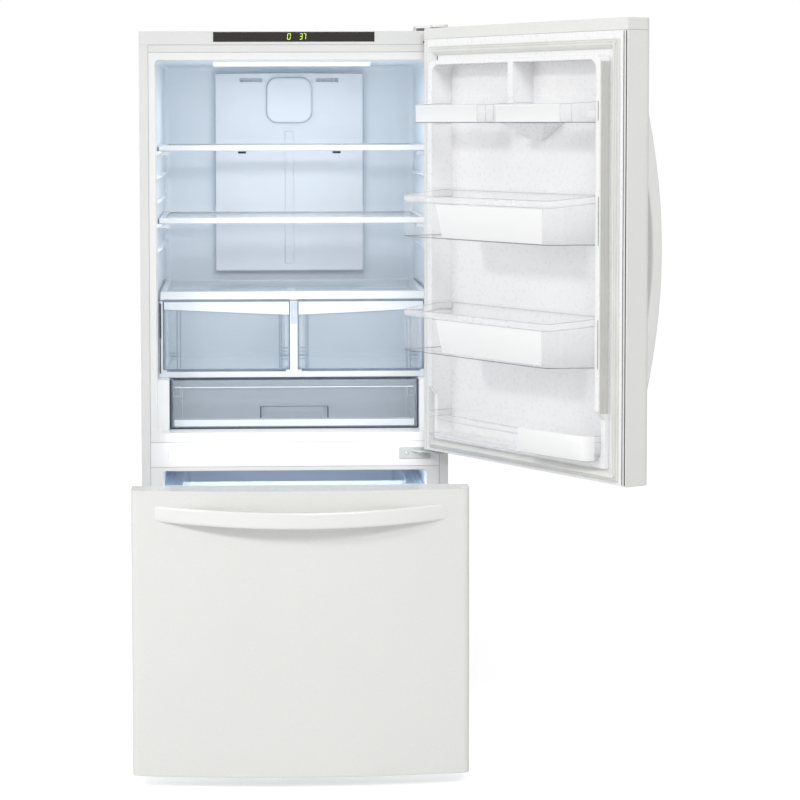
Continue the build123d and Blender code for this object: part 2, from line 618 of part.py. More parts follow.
LOW_ARM_TOP = DOOR_BOTTOM - 5.0
LOW_ARM_BOTTOM = LOW_ARM_TOP - 4.0
LOW_PLATE_LEFT = HINGE_X - 97.0
LOW_PLATE_RIGHT = HINGE_X - 20.0
LOW_PLATE_BOTTOM = LOW_ARM_TOP - 22.0
LOW_PLATE_TOP = LOW_ARM_TOP + 6.0
with BuildPart() as middle_hinge:
    # the plate screwed to the front rail
    with BuildSketch(Plane.XZ):
        with Locations(((LOW_PLATE_LEFT + LOW_PLATE_RIGHT) / 2, (LOW_PLATE_BOTTOM + LOW_PLATE_TOP) / 2)):
            RectangleRounded(LOW_PLATE_RIGHT - LOW_PLATE_LEFT, LOW_PLATE_TOP - LOW_PLATE_BOTTOM, 3.0)
    extrude(amount=HINGE_PLATE)
    # the arm swings out to the pin
    with BuildSketch(Plane.XY.offset(LOW_ARM_BOTTOM)):
        with BuildLine():
            Polyline(
                (LOW_PLATE_LEFT + 24.0, 0),
                (LOW_PLATE_RIGHT - 3.0, 0),
                (HINGE_X + 12.0, HINGE_Y),
                (HINGE_X - 10.0, HINGE_Y - 7.0),
                close=True,
            )
        make_face()
        with Locations((HINGE_X, HINGE_Y)):
            Circle(12.0)
    extrude(amount=LOW_ARM_TOP - LOW_ARM_BOTTOM)
    # the pin, with the shoulder that the door turns on
    with BuildSketch(Plane.XY.offset(LOW_ARM_TOP)):
        with Locations((HINGE_X, HINGE_Y)):
            Circle(PIN_RADIUS + 4.0)
    extrude(amount=DOOR_BOTTOM + SHEET + RUN - LOW_ARM_TOP)
    with BuildSketch(Plane.XY.offset(LOW_ARM_TOP)):
        with Locations((HINGE_X, HINGE_Y)):
            Circle(PIN_RADIUS)
    extrude(amount=PIN_LENGTH)
finish(middle_hinge.part, "middle_hinge")


# ================================================================ door and drawer fronts
def panel_outline(inset):
    """Plan of a bowed front: flat back, square sides and a front that swells at the middle."""
    half = HALF - inset
    back = -GASKET_GAP - inset
    edge = -PANEL_FACE + inset
    with BuildSketch() as outline:
        with BuildLine():
            Polyline((-half, edge), (-half, back), (half, back), (half, edge))
            ThreePointArc((half, edge), (0, edge - BOW), (-half, edge))
        make_face()
        fillet(outline.vertices().group_by(Axis.Y)[0], PANEL_RADIUS - inset)
    return outline.sketch


PANEL_PLAN = panel_outline(0.0)
PANEL_INSIDE = panel_outline(SHEET)
PANEL_FILL = panel_outline(SHEET + SEAT)


def plan_block(plan, bottom, top):
    """A front's plan, raised from one height to another."""
    with BuildPart() as block:
        with BuildSketch(Plane.XY.offset(bottom)):
            add(plan)
        extrude(amount=top - bottom)
    return block.part


RETURN_HALF = HALF - PANEL_RETURN
with BuildPart() as door_skin:
    add(plan_block(PANEL_PLAN, DOOR_BOTTOM, SKIN_TOP))
    add(plan_block(PANEL_INSIDE, DOOR_BOTTOM - 1, SKIN_TOP + 1), mode=Mode.SUBTRACT)
    slab(
        -RETURN_HALF, RETURN_HALF,
        -GASKET_GAP - 2 * SHEET, -GASKET_GAP + 1,
        DOOR_BOTTOM - 1, SKIN_TOP + 1,
        Mode.SUBTRACT,
    )
finish(swing(door_skin.part), "door_skin")

LINER_BACK = GASKET_GAP + LINER_WALL       # rear of the inner panels' flange, before the cabinet
with BuildPart() as door_end_caps:
    add(plan_block(PANEL_FILL, DOOR_BOTTOM + SHEET, DOOR_BOTTOM + CAP))
    add(plan_block(PANEL_FILL, SKIN_TOP - CAP, SKIN_TOP + SEAT))
    slab(-HALF, HALF, -LINER_BACK - SEAT, 0, 0, SKIN_TOP + SEAT, Mode.SUBTRACT)
    # the top cap is flush with the skin that it plugs into, and rounded along its upper edges
    with BuildPart(mode=Mode.PRIVATE) as crown:
        add(plan_block(PANEL_PLAN, SKIN_TOP + SEAT, DOOR_TOP))
        fillet(crown.faces().sort_by(Axis.Z)[-1].edges(), 2.0)
    add(crown.part)
    with BuildSketch(Plane.XY.offset(DOOR_BOTTOM)):
        with Locations((HINGE_X, HINGE_Y)):
            Circle(PIN_RADIUS + SHAFT_FIT)
    extrude(amount=DOOR_TOP - DOOR_BOTTOM + 1, mode=Mode.SUBTRACT)
    # the bottom cap is relieved for the shoulder of the lower pin
    with BuildSketch(Plane.XY.offset(DOOR_BOTTOM)):
        with Locations((HINGE_X, HINGE_Y)):
            Circle(PIN_RADIUS + 4.5)
    extrude(amount=SHEET + 2 * RUN, mode=Mode.SUBTRACT)
finish(swing(door_end_caps.part), "door_end_caps")

HOLLOW_MIDDLE = (HOLLOW_BOTTOM + HOLLOW_TOP) / 2
HOLLOW_HEIGHT = HOLLOW_TOP - HOLLOW_BOTTOM
POCKET_FLOOR = -GASKET_GAP - POCKET_DEPTH
PIN_ROOM = PIN_LENGTH + 10.0


def hollow_block(grow, front, depth):
    """The hollow of the door as a block, from the plane y = front towards the door's face."""
    with BuildPart() as block:
        with BuildSketch(Plane.XZ.offset(-front)):
            with Locations((0, HOLLOW_MIDDLE)):
                RectangleRounded(
                    2 * (HOLLOW_HALF + grow),
                    HOLLOW_HEIGHT + 2 * grow,
                    HOLLOW_RADIUS + grow,
                )
        extrude(amount=depth)
    return block.part


with BuildPart() as door_foam:
    add(plan_block(PANEL_FILL, DOOR_BOTTOM + CAP + SEAT, SKIN_TOP - CAP - SEAT))
    # the inner panel's flange and hollow, and room at the pins
    slab(-HALF, HALF, -LINER_BACK - SEAT, 0, 0, CASE_TOP + HALF, Mode.SUBTRACT)
    pocket_room = POCKET_DEPTH + LINER_WALL + SEAT
    add(hollow_block(LINER_WALL + SEAT, -GASKET_GAP, pocket_room), mode=Mode.SUBTRACT)
    with BuildSketch(Plane.XY.offset(DOOR_BOTTOM)):
        with Locations((HINGE_X, HINGE_Y)):
            Circle(PIN_RADIUS + 1.0)
    extrude(amount=PIN_ROOM, mode=Mode.SUBTRACT)
    with BuildSketch(Plane.XY.offset(DOOR_TOP)):
        with Locations((HINGE_X, HINGE_Y)):
            Circle(PIN_RADIUS + 1.0)
    extrude(amount=-PIN_ROOM, mode=Mode.SUBTRACT)
finish(swing(door_foam.part), "door_foam")

# ---------------------------------------------------------------- inner panel of the door
LUG_HEIGHT = 15.0
LUG_REACH = 5.0
LUG_FRONT = -6.0
LUG_DEPTH = 18.0


def lug_top(floor, back_height):
    """The height at which a bin's ears rest on the lugs of the inner panel."""
    return floor + back_height * 0.55


WEDGE_X = -40.0
WEDGE_HALF = 84.0
WEDGE_DROP = 42.0
with BuildPart() as door_liner:
    with BuildSketch(BACK_PLANE):
        with Locations((0, (DOOR_BOTTOM + SHEET + SKIN_TOP) / 2)):
            Rectangle(2 * (RETURN_HALF - SEAT), SKIN_TOP - DOOR_BOTTOM - SHEET)
    extrude(amount=LINER_WALL)
    # the raised ring, low below the step
    with BuildSketch(Plane.XZ.offset(-RING_FRONT)):
        with Locations((0, (RING_STEP + RING_TOP) / 2)):
            Rectangle(2 * RING_HALF, RING_TOP - RING_STEP)
    extrude(amount=RING_FRONT + GASKET_GAP)
    with BuildSketch(Plane.XZ.offset(1.0)):
        with Locations((0, (RING_BOTTOM + RING_STEP) / 2)):
            Rectangle(2 * RING_HALF, RING_STEP - RING_BOTTOM)
    extrude(amount=GASKET_GAP - 1.0)
    # a slope joins the two heights of the ring
    with BuildSketch(Plane.YZ.offset(-RING_HALF)):
        with BuildLine():
            Polyline((-2.0, RING_STEP - 20.0), (RING_FRONT, RING_STEP), (-2.0, RING_STEP), close=True)
        make_face()
    extrude(amount=2 * RING_HALF)
    fillet(door_liner.edges().filter_by(Axis.Y).group_by(SortBy.LENGTH)[-1], 16.0)
    add(hollow_block(LINER_WALL, -GASKET_GAP, POCKET_DEPTH + LINER_WALL))
    add(hollow_block(0.0, RING_FRONT + 1.0, RING_FRONT + 1.0 - POCKET_FLOOR), mode=Mode.SUBTRACT)
    # the rib between the two upper alcoves and the wedge that it ends in
    slab(
        -RIB_WIDTH / 2, RIB_WIDTH / 2,
        POCKET_FLOOR - 1.0, RING_FRONT,
        HALF_BIN_FLOOR, HOLLOW_TOP + 1.0,
    )
    wedge_back = POCKET_FLOOR - 1.0
    wedge_reach = RING_FRONT - 4.0 - wedge_back
    with BuildSketch(Plane.XY.offset(HALF_BIN_FLOOR - SEAT)):
        with Locations((WEDGE_X, wedge_back)):
            Rectangle(2 * WEDGE_HALF, wedge_reach, align=(Align.CENTER, Align.MIN))
    with BuildSketch(Plane.XY.offset(HALF_BIN_FLOOR - SEAT - WEDGE_DROP)):
        with Locations((WEDGE_X, wedge_back)):
            Rectangle(12.0, 4.0, align=(Align.CENTER, Align.MIN))
    loft()
    # lugs that carry the bins
    lug_back = LUG_FRONT - LUG_DEPTH
    for floor, back_height in (
        (MIDDLE_BIN_FLOOR, FULL_BIN_BACK),
        (LOWER_BIN_FLOOR, FULL_BIN_BACK),
        (HALF_BIN_FLOOR, HALF_BIN_BACK),
    ):
        high = lug_top(floor, back_height) - SEAT
        for side in (-1, 1):
            slab(
                side * (HOLLOW_HALF - LUG_REACH), side * (HOLLOW_HALF + LINER_WALL / 2),
                lug_back, LUG_FRONT,
                high - LUG_HEIGHT, high,
            )
finish(swing(door_liner.part), "door_liner")


def gasket(bottom, top, inner_bottom, inner_top):
    """A bellows seal: a broad base on the panel and a narrower magnet strip that meets the cabinet."""
    inner_half = GASKET_OUT - GASKET_WIDTH
    base = 5.0
    bulb_inset = 4.0
    with BuildPart() as seal:
        with BuildSketch(BACK_PLANE):
            with Locations((0, (bottom + top) / 2)):
                RectangleRounded(2 * GASKET_OUT, top - bottom, 6.0)
            with Locations((0, (inner_bottom + inner_top) / 2)):
                Rectangle(2 * inner_half, inner_top - inner_bottom, mode=Mode.SUBTRACT)
        extrude(amount=-base)
        with BuildSketch(BACK_PLANE.offset(-base)):
            with Locations((0, (bottom + top) / 2)):
                RectangleRounded(2 * (GASKET_OUT - bulb_inset), top - bottom - 2 * bulb_inset, 4.0)
            with Locations((0, (inner_bottom + inner_top) / 2)):
                Rectangle(
                    2 * (inner_half + bulb_inset),
                    inner_top - inner_bottom + 2 * bulb_inset,
                    mode=Mode.SUBTRACT,
                )
        extrude(amount=-(GASKET_GAP - base - 0.5))
    return seal.part


DOOR_SEAL_BOTTOM = DOOR_BOTTOM + 8.0
DOOR_SEAL_TOP = STRIP_BOTTOM - 7.0
finish(
    swing(
        gasket(
            DOOR_SEAL_BOTTOM,
            DOOR_SEAL_TOP,
            DOOR_SEAL_BOTTOM + GASKET_WIDTH,
            DOOR_SEAL_TOP - GASKET_WIDTH,
        )
    ),
    "door_gasket",
)

# ---------------------------------------------------------------- drawer front
BOX_EDGE = 12.0
with BuildPart() as drawer_skin:
    add(plan_block(PANEL_PLAN, DRAWER_BOTTOM, DRAWER_TOP))
    add(plan_block(PANEL_INSIDE, DRAWER_BOTTOM + SHEET, DRAWER_TOP - SHEET), mode=Mode.SUBTRACT)
    slab(
        -RETURN_HALF, RETURN_HALF,
        -GASKET_GAP - 2 * SHEET, -GASKET_GAP + 1,
        DRAWER_BOTTOM + BOX_EDGE, DRAWER_TOP - BOX_EDGE,
        Mode.SUBTRACT,
    )
finish(pull(drawer_skin.part), "drawer_skin")

with BuildPart() as drawer_foam:
    add(plan_block(PANEL_FILL, DRAWER_BOTTOM + SHEET + SEAT, DRAWER_TOP - SHEET - SEAT))
    slab(-HALF, HALF, -LINER_BACK - SEAT, 0, 0, CASE_TOP, Mode.SUBTRACT)
finish(pull(drawer_foam.part), "drawer_foam")

DYKE_REACH = 6.0
with BuildPart() as drawer_liner:
    with BuildSketch(BACK_PLANE):
        with Locations((0, DRAWER_MIDDLE)):
            Rectangle(2 * (RETURN_HALF - SEAT), DRAWER_TOP - DRAWER_BOTTOM - 2 * (BOX_EDGE + SEAT))
    extrude(amount=LINER_WALL)
    # a raised field, framed by a groove
    with BuildSketch(BACK_PLANE):
        with Locations((0, (FREEZER_FLOOR + FREEZER_CEILING) / 2)):
            RectangleRounded(2 * DYKE_HALF, FREEZER_CEILING - FREEZER_FLOOR - 40.0, 20.0)
    extrude(amount=-(DYKE_REACH + 2.0), taper=20)
    with BuildSketch(BACK_PLANE.offset(-DYKE_REACH - 2.0)):
        with Locations((0, (FREEZER_FLOOR + FREEZER_CEILING) / 2)):
            RectangleRounded(2 * DYKE_HALF - 60.0, FREEZER_CEILING - FREEZER_FLOOR - 100.0, 12.0)
    extrude(amount=DYKE_REACH, mode=Mode.SUBTRACT)
finish(pull(drawer_liner.part), "drawer_liner")

DRAWER_SEAL_BOTTOM = FREEZER_FLOOR - 25.0
DRAWER_SEAL_TOP = DRAWER_TOP - 13.0
finish(
    pull(
        gasket(
            DRAWER_SEAL_BOTTOM,
            DRAWER_SEAL_TOP,
            DRAWER_SEAL_BOTTOM + GASKET_WIDTH,
            DRAWER_SEAL_TOP - GASKET_WIDTH,
        )
    ),
    "drawer_gasket",
)

# ---------------------------------------------------------------- bow handles
HANDLE_STAND = 48.0       # from the swell of the front to the outside of the grip
HANDLE_THICK = 15.0
HANDLE_FACE = 36.0
DRAWER_HANDLE_END = 45.0  # from the drawer's side edges
DRAWER_HANDLE_DROP = 55.0 # from the drawer's top to the middle of the grip
DRAWER_HANDLE_SMILE = 16.0
DOOR_HANDLE_INSET = 35.0  # from the door's side edge to the middle of the grip
DOOR_HANDLE_ABOVE = 116.0 # from the ends of the grip to the ends of the door
DOOR_HANDLE_BELOW = 109.0
DOOR_HANDLE_FACE = 32.0
DOOR_HANDLE_STAND = 66.0  # from the front's side edge to the outside of the grip
FOOT_SHARE = 0.80         # the gap behind the grip spans this share of its length
DRAWER_HANDLE_HALF = HALF - DRAWER_HANDLE_END
DRAWER_HANDLE_Z = DRAWER_TOP - DRAWER_HANDLE_DROP
DOOR_HANDLE_X = -HALF + DOOR_HANDLE_INSET
DOOR_HANDLE_Z = (DOOR_BOTTOM + DOOR_HANDLE_BELOW + DOOR_TOP - DOOR_HANDLE_ABOVE) / 2
DOOR_HANDLE_HALF = (DOOR_TOP - DOOR_HANDLE_ABOVE - DOOR_BOTTOM - DOOR_HANDLE_BELOW) / 2

SKIN_CLEAR = panel_outline(-SEAT)
with BuildPart() as drawer_handle:
    # plan: an outer and an inner arc, closed by the front's own curve
    crest = -PANEL_FACE - BOW - HANDLE_STAND
    ends = -PANEL_FACE - BOW * (1.0 - (DRAWER_HANDLE_HALF / HALF) ** 2) + 2.0
    with BuildSketch(Plane.XY.offset(DRAWER_HANDLE_Z - 80.0)):
        with BuildLine():
            ThreePointArc((-DRAWER_HANDLE_HALF, ends), (0, crest), (DRAWER_HANDLE_HALF, ends))
            Line((DRAWER_HANDLE_HALF, ends), (-DRAWER_HANDLE_HALF, ends))
        make_face()
        gap_half = DRAWER_HANDLE_HALF * FOOT_SHARE
        with BuildLine():
            ThreePointArc((-gap_half, ends), (0, crest + HANDLE_THICK), (gap_half, ends))
            Line((gap_half, ends), (-gap_half, ends))
        make_face(mode=Mode.SUBTRACT)
    extrude(amount=160.0)
    # front view: a band that dips at the middle
    high = DRAWER_HANDLE_Z + HANDLE_FACE / 2 + DRAWER_HANDLE_SMILE / 2
    low = DRAWER_HANDLE_Z - HANDLE_FACE / 2 + DRAWER_HANDLE_SMILE / 2
    with BuildSketch(Plane.XZ) as band:
        with BuildLine():
            ThreePointArc(
                (-DRAWER_HANDLE_HALF, high),
                (0, high - DRAWER_HANDLE_SMILE),
                (DRAWER_HANDLE_HALF, high),
            )
            Line((DRAWER_HANDLE_HALF, high), (DRAWER_HANDLE_HALF, low))
            ThreePointArc(
                (DRAWER_HANDLE_HALF, low),
                (0, low - DRAWER_HANDLE_SMILE),
                (-DRAWER_HANDLE_HALF, low),
            )
            Line((-DRAWER_HANDLE_HALF, low), (-DRAWER_HANDLE_HALF, high))
        make_face()
        fillet(band.vertices(), 12.0)
    extrude(amount=-crest + 10.0, mode=Mode.INTERSECT)
    add(plan_block(SKIN_CLEAR, 0, CASE_TOP), mode=Mode.SUBTRACT)
finish(pull(drawer_handle.part), "drawer_handle")

with BuildPart() as door_handle:
    # side view: an outer and an inner arc over the height of the door
    crest = -PANEL_FACE - DOOR_HANDLE_STAND
    ends = -PANEL_FACE + 2.0
    top = DOOR_HANDLE_Z + DOOR_HANDLE_HALF
    bottom = DOOR_HANDLE_Z - DOOR_HANDLE_HALF
    with BuildSketch(Plane.YZ.offset(DOOR_HANDLE_X - DOOR_HANDLE_FACE / 2)):
        with BuildLine():
            ThreePointArc((ends, bottom), (crest, DOOR_HANDLE_Z), (ends, top))
            Line((ends, top), (ends, bottom))
        make_face()
        gap_half = DOOR_HANDLE_HALF * FOOT_SHARE
        with BuildLine():
            ThreePointArc(
                (ends, DOOR_HANDLE_Z - gap_half),
                (crest + HANDLE_THICK, DOOR_HANDLE_Z),
                (ends, DOOR_HANDLE_Z + gap_half),
            )
            Line((ends, DOOR_HANDLE_Z + gap_half), (ends, DOOR_HANDLE_Z - gap_half))
        make_face(mode=Mode.SUBTRACT)
    extrude(amount=DOOR_HANDLE_FACE)
    add(plan_block(SKIN_CLEAR, 0, CASE_TOP), mode=Mode.SUBTRACT)
finish(swing(door_handle.part), "door_handle")


# ================================================================ bins of the door
def door_bin(x0, x1, floor, back_height, front_height, reach, swell, corner, ears):
    """A clear bin: open on top, its front lower than its back and swelling into the cabinet."""
    back = POCKET_FLOOR + 3.0
    middle = (x0 + x1) / 2

    def outline(inset):
        with BuildSketch() as plan:
            with BuildLine():
                Polyline(
                    (x0 + inset, reach - inset),
                    (x0 + inset, back + inset),
                    (x1 - inset, back + inset),
                    (x1 - inset, reach - inset),
                )
                ThreePointArc(
                    (x1 - inset, reach - inset),
                    (middle, reach + swell - inset),
                    (x0 + inset, reach - inset),
                )
            make_face()
            # the two corners at the ends of the curved front
            fillet(plan.vertices().group_by(Axis.Y)[-1], corner - inset)
        return plan.sketch

    outer = outline(0.0)
    inner = outline(BIN_WALL)
    with BuildPart() as door_bin_part:
        with BuildSketch(Plane.XY.offset(floor)):
            add(outer)
        extrude(amount=back_height)
        # rounded heels, so that the bin also fits the corners of the hollow
        heel = HOLLOW_RADIUS - BIN_SIDE_GAP
        fillet(door_bin_part.faces().sort_by(Axis.Z)[0].edges().filter_by(Axis.Y), heel)
        with BuildPart(mode=Mode.PRIVATE) as room:
            with BuildSketch(Plane.XY.offset(floor + BIN_WALL)):
                add(inner)
            extrude(amount=back_height)
            fillet(room.faces().sort_by(Axis.Z)[0].edges().filter_by(Axis.Y), heel - BIN_WALL)
        add(room.part, mode=Mode.SUBTRACT)
        # the ends slope down to the lower front
        slope_back = reach * 0.2
        with BuildSketch(Plane.YZ.offset(x0 - 1.0)):
            with BuildLine():
                Polyline(
                    (slope_back, floor + back_height + 1.0),
                    (reach - 8.0, floor + front_height),
                    (reach + swell + 1.0, floor + front_height),
                    (reach + swell + 1.0, floor + back_height + 1.0),
                    close=True,
                )
            make_face()
        extrude(amount=x1 - x0 + 2.0, mode=Mode.SUBTRACT)
        # ears that sit on the lugs of the inner panel
        rest = lug_top(floor, back_height)
        for side in ears:
            end = x1 if side > 0 else x0
            slab(end - side, side * (HOLLOW_HALF - SEAT), LUG_FRONT - LUG_DEPTH, LUG_FRONT, rest, rest + 12.0)
    return door_bin_part.part


BIN_HALF = HOLLOW_HALF - BIN_SIDE_GAP
HALF_BIN_START = RIB_WIDTH / 2 + SEAT
full_bins = (("door_bin_middle", MIDDLE_BIN_FLOOR), ("door_bin_lower", LOWER_BIN_FLOOR))
for name, floor in full_bins:
    full_bin = door_bin(
        -BIN_HALF, BIN_HALF, floor,
        FULL_BIN_BACK, FULL_BIN_FRONT, FULL_BIN_REACH, FULL_BIN_SWELL, 9.0, (-1, 1),
    )
    finish(swing(full_bin), name)

half_bins = (
    ("door_bin_upper_hinge_side", HALF_BIN_START, BIN_HALF, (1,)),
    ("door_bin_upper_latch_side", -BIN_HALF, -HALF_BIN_START, (-1,)),
)
for name, x0, x1, ears in half_bins:
    half_bin = door_bin(x0, x1, HALF_BIN_FLOOR, HALF_BIN_BACK, HALF_BIN_FRONT, HALF_BIN_REACH, 4.0, 16.0, ears)
    finish(swing(half_bin), name)

bottom_bin = door_bin(
    -BIN_HALF, BIN_HALF, HOLLOW_BOTTOM + SEAT,
    BOTTOM_BIN_HEIGHT, BOTTOM_BIN_HEIGHT - 4.0, BOTTOM_BIN_REACH, BOTTOM_BIN_SWELL, 18.0, (),
)
finish(swing(bottom_bin), "door_bin_bottom")

# ================================================================ fresh food interior
SHELF_BAR = 16.0
SHELF_SIDE = 14.0
shelf_heights = [LEDGE_TOP - row * LEDGE_STEP + SEAT for row in (UPPER_SHELF_LEDGE, LOWER_SHELF_LEDGE)]
shelf_back = INNER_FRONT + SHELF_DEPTH
glass_front = INNER_FRONT + SHELF_BAR
glass_back = shelf_back - SHELF_SIDE
glass_half = SHELF_HALF - SHELF_SIDE

with BuildPart() as shelf_frames:
    for low in shelf_heights:
        high = low + SHELF_THICKNESS
        slab(-SHELF_HALF, SHELF_HALF, INNER_FRONT, shelf_back, low, high)
        slab(-glass_half, glass_half, glass_front, glass_back, low - 1, high + 1, Mode.SUBTRACT)
        # a rebate all round carries the pane
        slab(
            -glass_half - 6.0, glass_half + 6.0,
            glass_front - 6.0, glass_back + 6.0,
            high - 2.0 - GLASS - SEAT, high - 2.0,
            Mode.SUBTRACT,
        )
    fillet(shelf_frames.edges().filter_by(Axis.X).group_by(Axis.Y)[0], 3.0)
finish(shelf_frames.part, "shelf_frames")

with BuildPart() as shelf_glass:
    for low in shelf_heights:
        high = low + SHELF_THICKNESS - 2.0
        slab(
            -glass_half - 6.0 + SEAT, glass_half + 6.0 - SEAT,
            glass_front - 6.0 + SEAT, glass_back + 6.0 - SEAT,
            high - GLASS - SEAT / 2, high - SEAT / 2,
        )
finish(shelf_glass.part, "shelf_glass")

CHEEK_OUT = FRESH_HALF - 1.0
CHEEK_IN = FRESH_HALF - 11.0
CRISPER_FRONT = INNER_FRONT + 2.0
CRISPER_DEPTH = TUB_BACK - CRISPER_FRONT
FRAME_BACK = TUB_BACK + 12.0
SHELF_PLATE = 4.0
with BuildPart() as crisper_frame:
    # lower plate with its thick front sill
    slab(-CHEEK_OUT, CHEEK_OUT, INNER_FRONT, FRAME_BACK, FRAME_BOTTOM, FRAME_BOTTOM + SHELF_PLATE)
    slab(-CHEEK_OUT, CHEEK_OUT, INNER_FRONT, INNER_FRONT + 26.0, FRAME_BOTTOM, SILL_TOP)
    # cheeks, divider and the runners at their feet
    for side in (-1, 1):
        slab(side * CHEEK_IN, side * CHEEK_OUT, INNER_FRONT, FRAME_BACK, FRAME_BOTTOM, COVER_BOTTOM)
        slab(
            side * (CHEEK_IN - 10.0), side * CHEEK_OUT,
            INNER_FRONT + 2.0, FRAME_BACK,
            FRAME_BOTTOM, CRISPER_FLOOR - RUN,
        )
    slab(-DIVIDER_WIDTH / 2, DIVIDER_WIDTH / 2, INNER_FRONT, FRAME_BACK, FRAME_BOTTOM, COVER_BOTTOM)
    runner = DIVIDER_WIDTH / 2 + 10.0
    slab(-runner, runner, INNER_FRONT + 2.0, FRAME_BACK, FRAME_BOTTOM, CRISPER_FLOOR - RUN)
    # cover rim, open in the middle for the pane
    slab(-CHEEK_OUT, CHEEK_OUT, INNER_FRONT, FRAME_BACK, COVER_BOTTOM, COVER_LID)
    pane_half = CHEEK_OUT - 20.0
    pane_front = INNER_FRONT + 22.0
    pane_back = FRAME_BACK - 20.0
    slab(-pane_half, pane_half, pane_front, pane_back, COVER_BOTTOM + 3.0, COVER_LID + 1, Mode.SUBTRACT)
    slab(
        -pane_half + 8.0, pane_half - 8.0,
        pane_front + 8.0, pane_back - 8.0,
        COVER_BOTTOM - 0.5, COVER_BOTTOM + 4.0,
        Mode.SUBTRACT,
    )
finish(crisper_frame.part, "crisper_frame")

with BuildPart() as crisper_cover_glass:
    slab(
        -pane_half + SEAT, pane_half - SEAT,
        pane_front + SEAT, pane_back - SEAT,
        COVER_LID - GLASS - 3.0, COVER_LID - 3.0,
    )
    # a moulded bearer under the pane seats it on the rim
    bearer_top = COVER_LID - GLASS - 3.0
    for side in (-1, 1):
        slab(
            side * (pane_half - 7.0), side * (pane_half - SEAT),
            pane_front + SEAT, pane_back - SEAT,
            COVER_BOTTOM + 3.0 + SEAT, bearer_top,
        )
finish(crisper_cover_glass.part, "crisper_cover_glass")


def crisper(side):
    """One vegetable drawer: a clear tub with a thick grip rail along its front."""
    inner_x = DIVIDER_WIDTH / 2 + 1.0
    outer_x = CHEEK_IN - 1.5
    middle = side * (inner_x + outer_x) / 2
    width = outer_x - inner_x
    grip_low = CRISPER_TOP - 18.0
    grip_out = middle + side * (width / 2 - 4.0)
    grip_in = middle - side * (width / 2 - 4.0)
    with BuildPart() as tub:
        with BuildSketch(Plane.XY.offset(CRISPER_FLOOR)):
            with Locations((middle, CRISPER_FRONT + CRISPER_DEPTH / 2)):
                RectangleRounded(width, CRISPER_DEPTH, 12.0)
        extrude(amount=CRISPER_HEIGHT)
        # the grip rail swells forward and hangs lower towards the divider
        with BuildSketch(Plane.XZ.offset(-CRISPER_FRONT)) as grip:
            with BuildLine():
                Polyline((grip_out, grip_low), (grip_out, CRISPER_TOP), (grip_in, CRISPER_TOP), (grip_in, grip_low - 14.5))
                ThreePointArc(
                    (grip_in, grip_low - 14.5),
                    (middle, grip_low - 9.0),
                    (grip_out, grip_low),
                )
            make_face()
        extrude(amount=4.0)
        extrude(grip.sketch, amount=-14.0)
        # flat posts stiffen the front at both ends
        with BuildSketch(Plane.XZ.offset(-CRISPER_FRONT)):
            for post_x, post_width in ((grip_in + side * 8.0, 20.0), (grip_out - side * 20.0, 36.0)):
                with Locations((post_x, (CRISPER_FLOOR + CRISPER_TOP) / 2)):
                    Rectangle(post_width, CRISPER_HEIGHT - 16.0)
        extrude(amount=1.4)
        with BuildSketch(Plane.XY.offset(CRISPER_FLOOR + CRISPER_WALL)):
            with Locations((middle, CRISPER_FRONT + CRISPER_DEPTH / 2)):
                RectangleRounded(width - 2 * CRISPER_WALL, CRISPER_DEPTH - 2 * CRISPER_WALL, 9.5)
        extrude(amount=CRISPER_HEIGHT, mode=Mode.SUBTRACT)
    return tub.part


finish(crisper(-1), "crisper_left")
finish(crisper(1), "crisper_right")

PANTRY_WALL = 3.0
PANTRY_FLOOR = FLOOR_RIB_TOP + RUN
PULL_WIDTH = 170.0
PULL_HIGH = PANTRY_FLOOR + 50.0
PULL_LOW = PANTRY_FLOOR + 21.0
with BuildPart() as pantry_drawer:
    with BuildSketch(Plane.XY.offset(PANTRY_FLOOR)):
        with Locations((0, PANTRY_FRONT + PANTRY_DEPTH / 2)):
            RectangleRounded(2 * PANTRY_HALF, PANTRY_DEPTH, 8.0)
    extrude(amount=PANTRY_TOP - PANTRY_FLOOR)
    with BuildSketch(Plane.XY.offset(PANTRY_FLOOR + PANTRY_WALL)):
        with Locations((0, PANTRY_FRONT + (PANTRY_DEPTH + 9.0) / 2)):
            RectangleRounded(2 * (PANTRY_HALF - PANTRY_WALL), PANTRY_DEPTH - 9.0 - 2 * PANTRY_WALL, 6.0)
    extrude(amount=PANTRY_TOP, mode=Mode.SUBTRACT)
    # U-shaped pull pressed into the thick front
    with BuildSketch(Plane.XZ.offset(-PANTRY_FRONT)) as pull_shape:
        with Locations((0, (PULL_LOW + PULL_HIGH) / 2)):
            Rectangle(PULL_WIDTH, PULL_HIGH - PULL_LOW)
        fillet(pull_shape.vertices().group_by(Axis.Y)[0], 14.0)
        with Locations((0, PULL_HIGH)):
            Rectangle(PULL_WIDTH - 24.0, PULL_HIGH - PULL_LOW, mode=Mode.SUBTRACT)
    extrude(amount=-5.0, mode=Mode.SUBTRACT)
    # the lip line under the rim
    slab(
        -PANTRY_HALF + 6.0, PANTRY_HALF - 6.0,
        PANTRY_FRONT - 1.0, PANTRY_FRONT + 2.0,
        PANTRY_TOP - 22.0, PANTRY_TOP - 19.0,
        Mode.SUBTRACT,
    )
finish(pantry_drawer.part, "pantry_drawer")

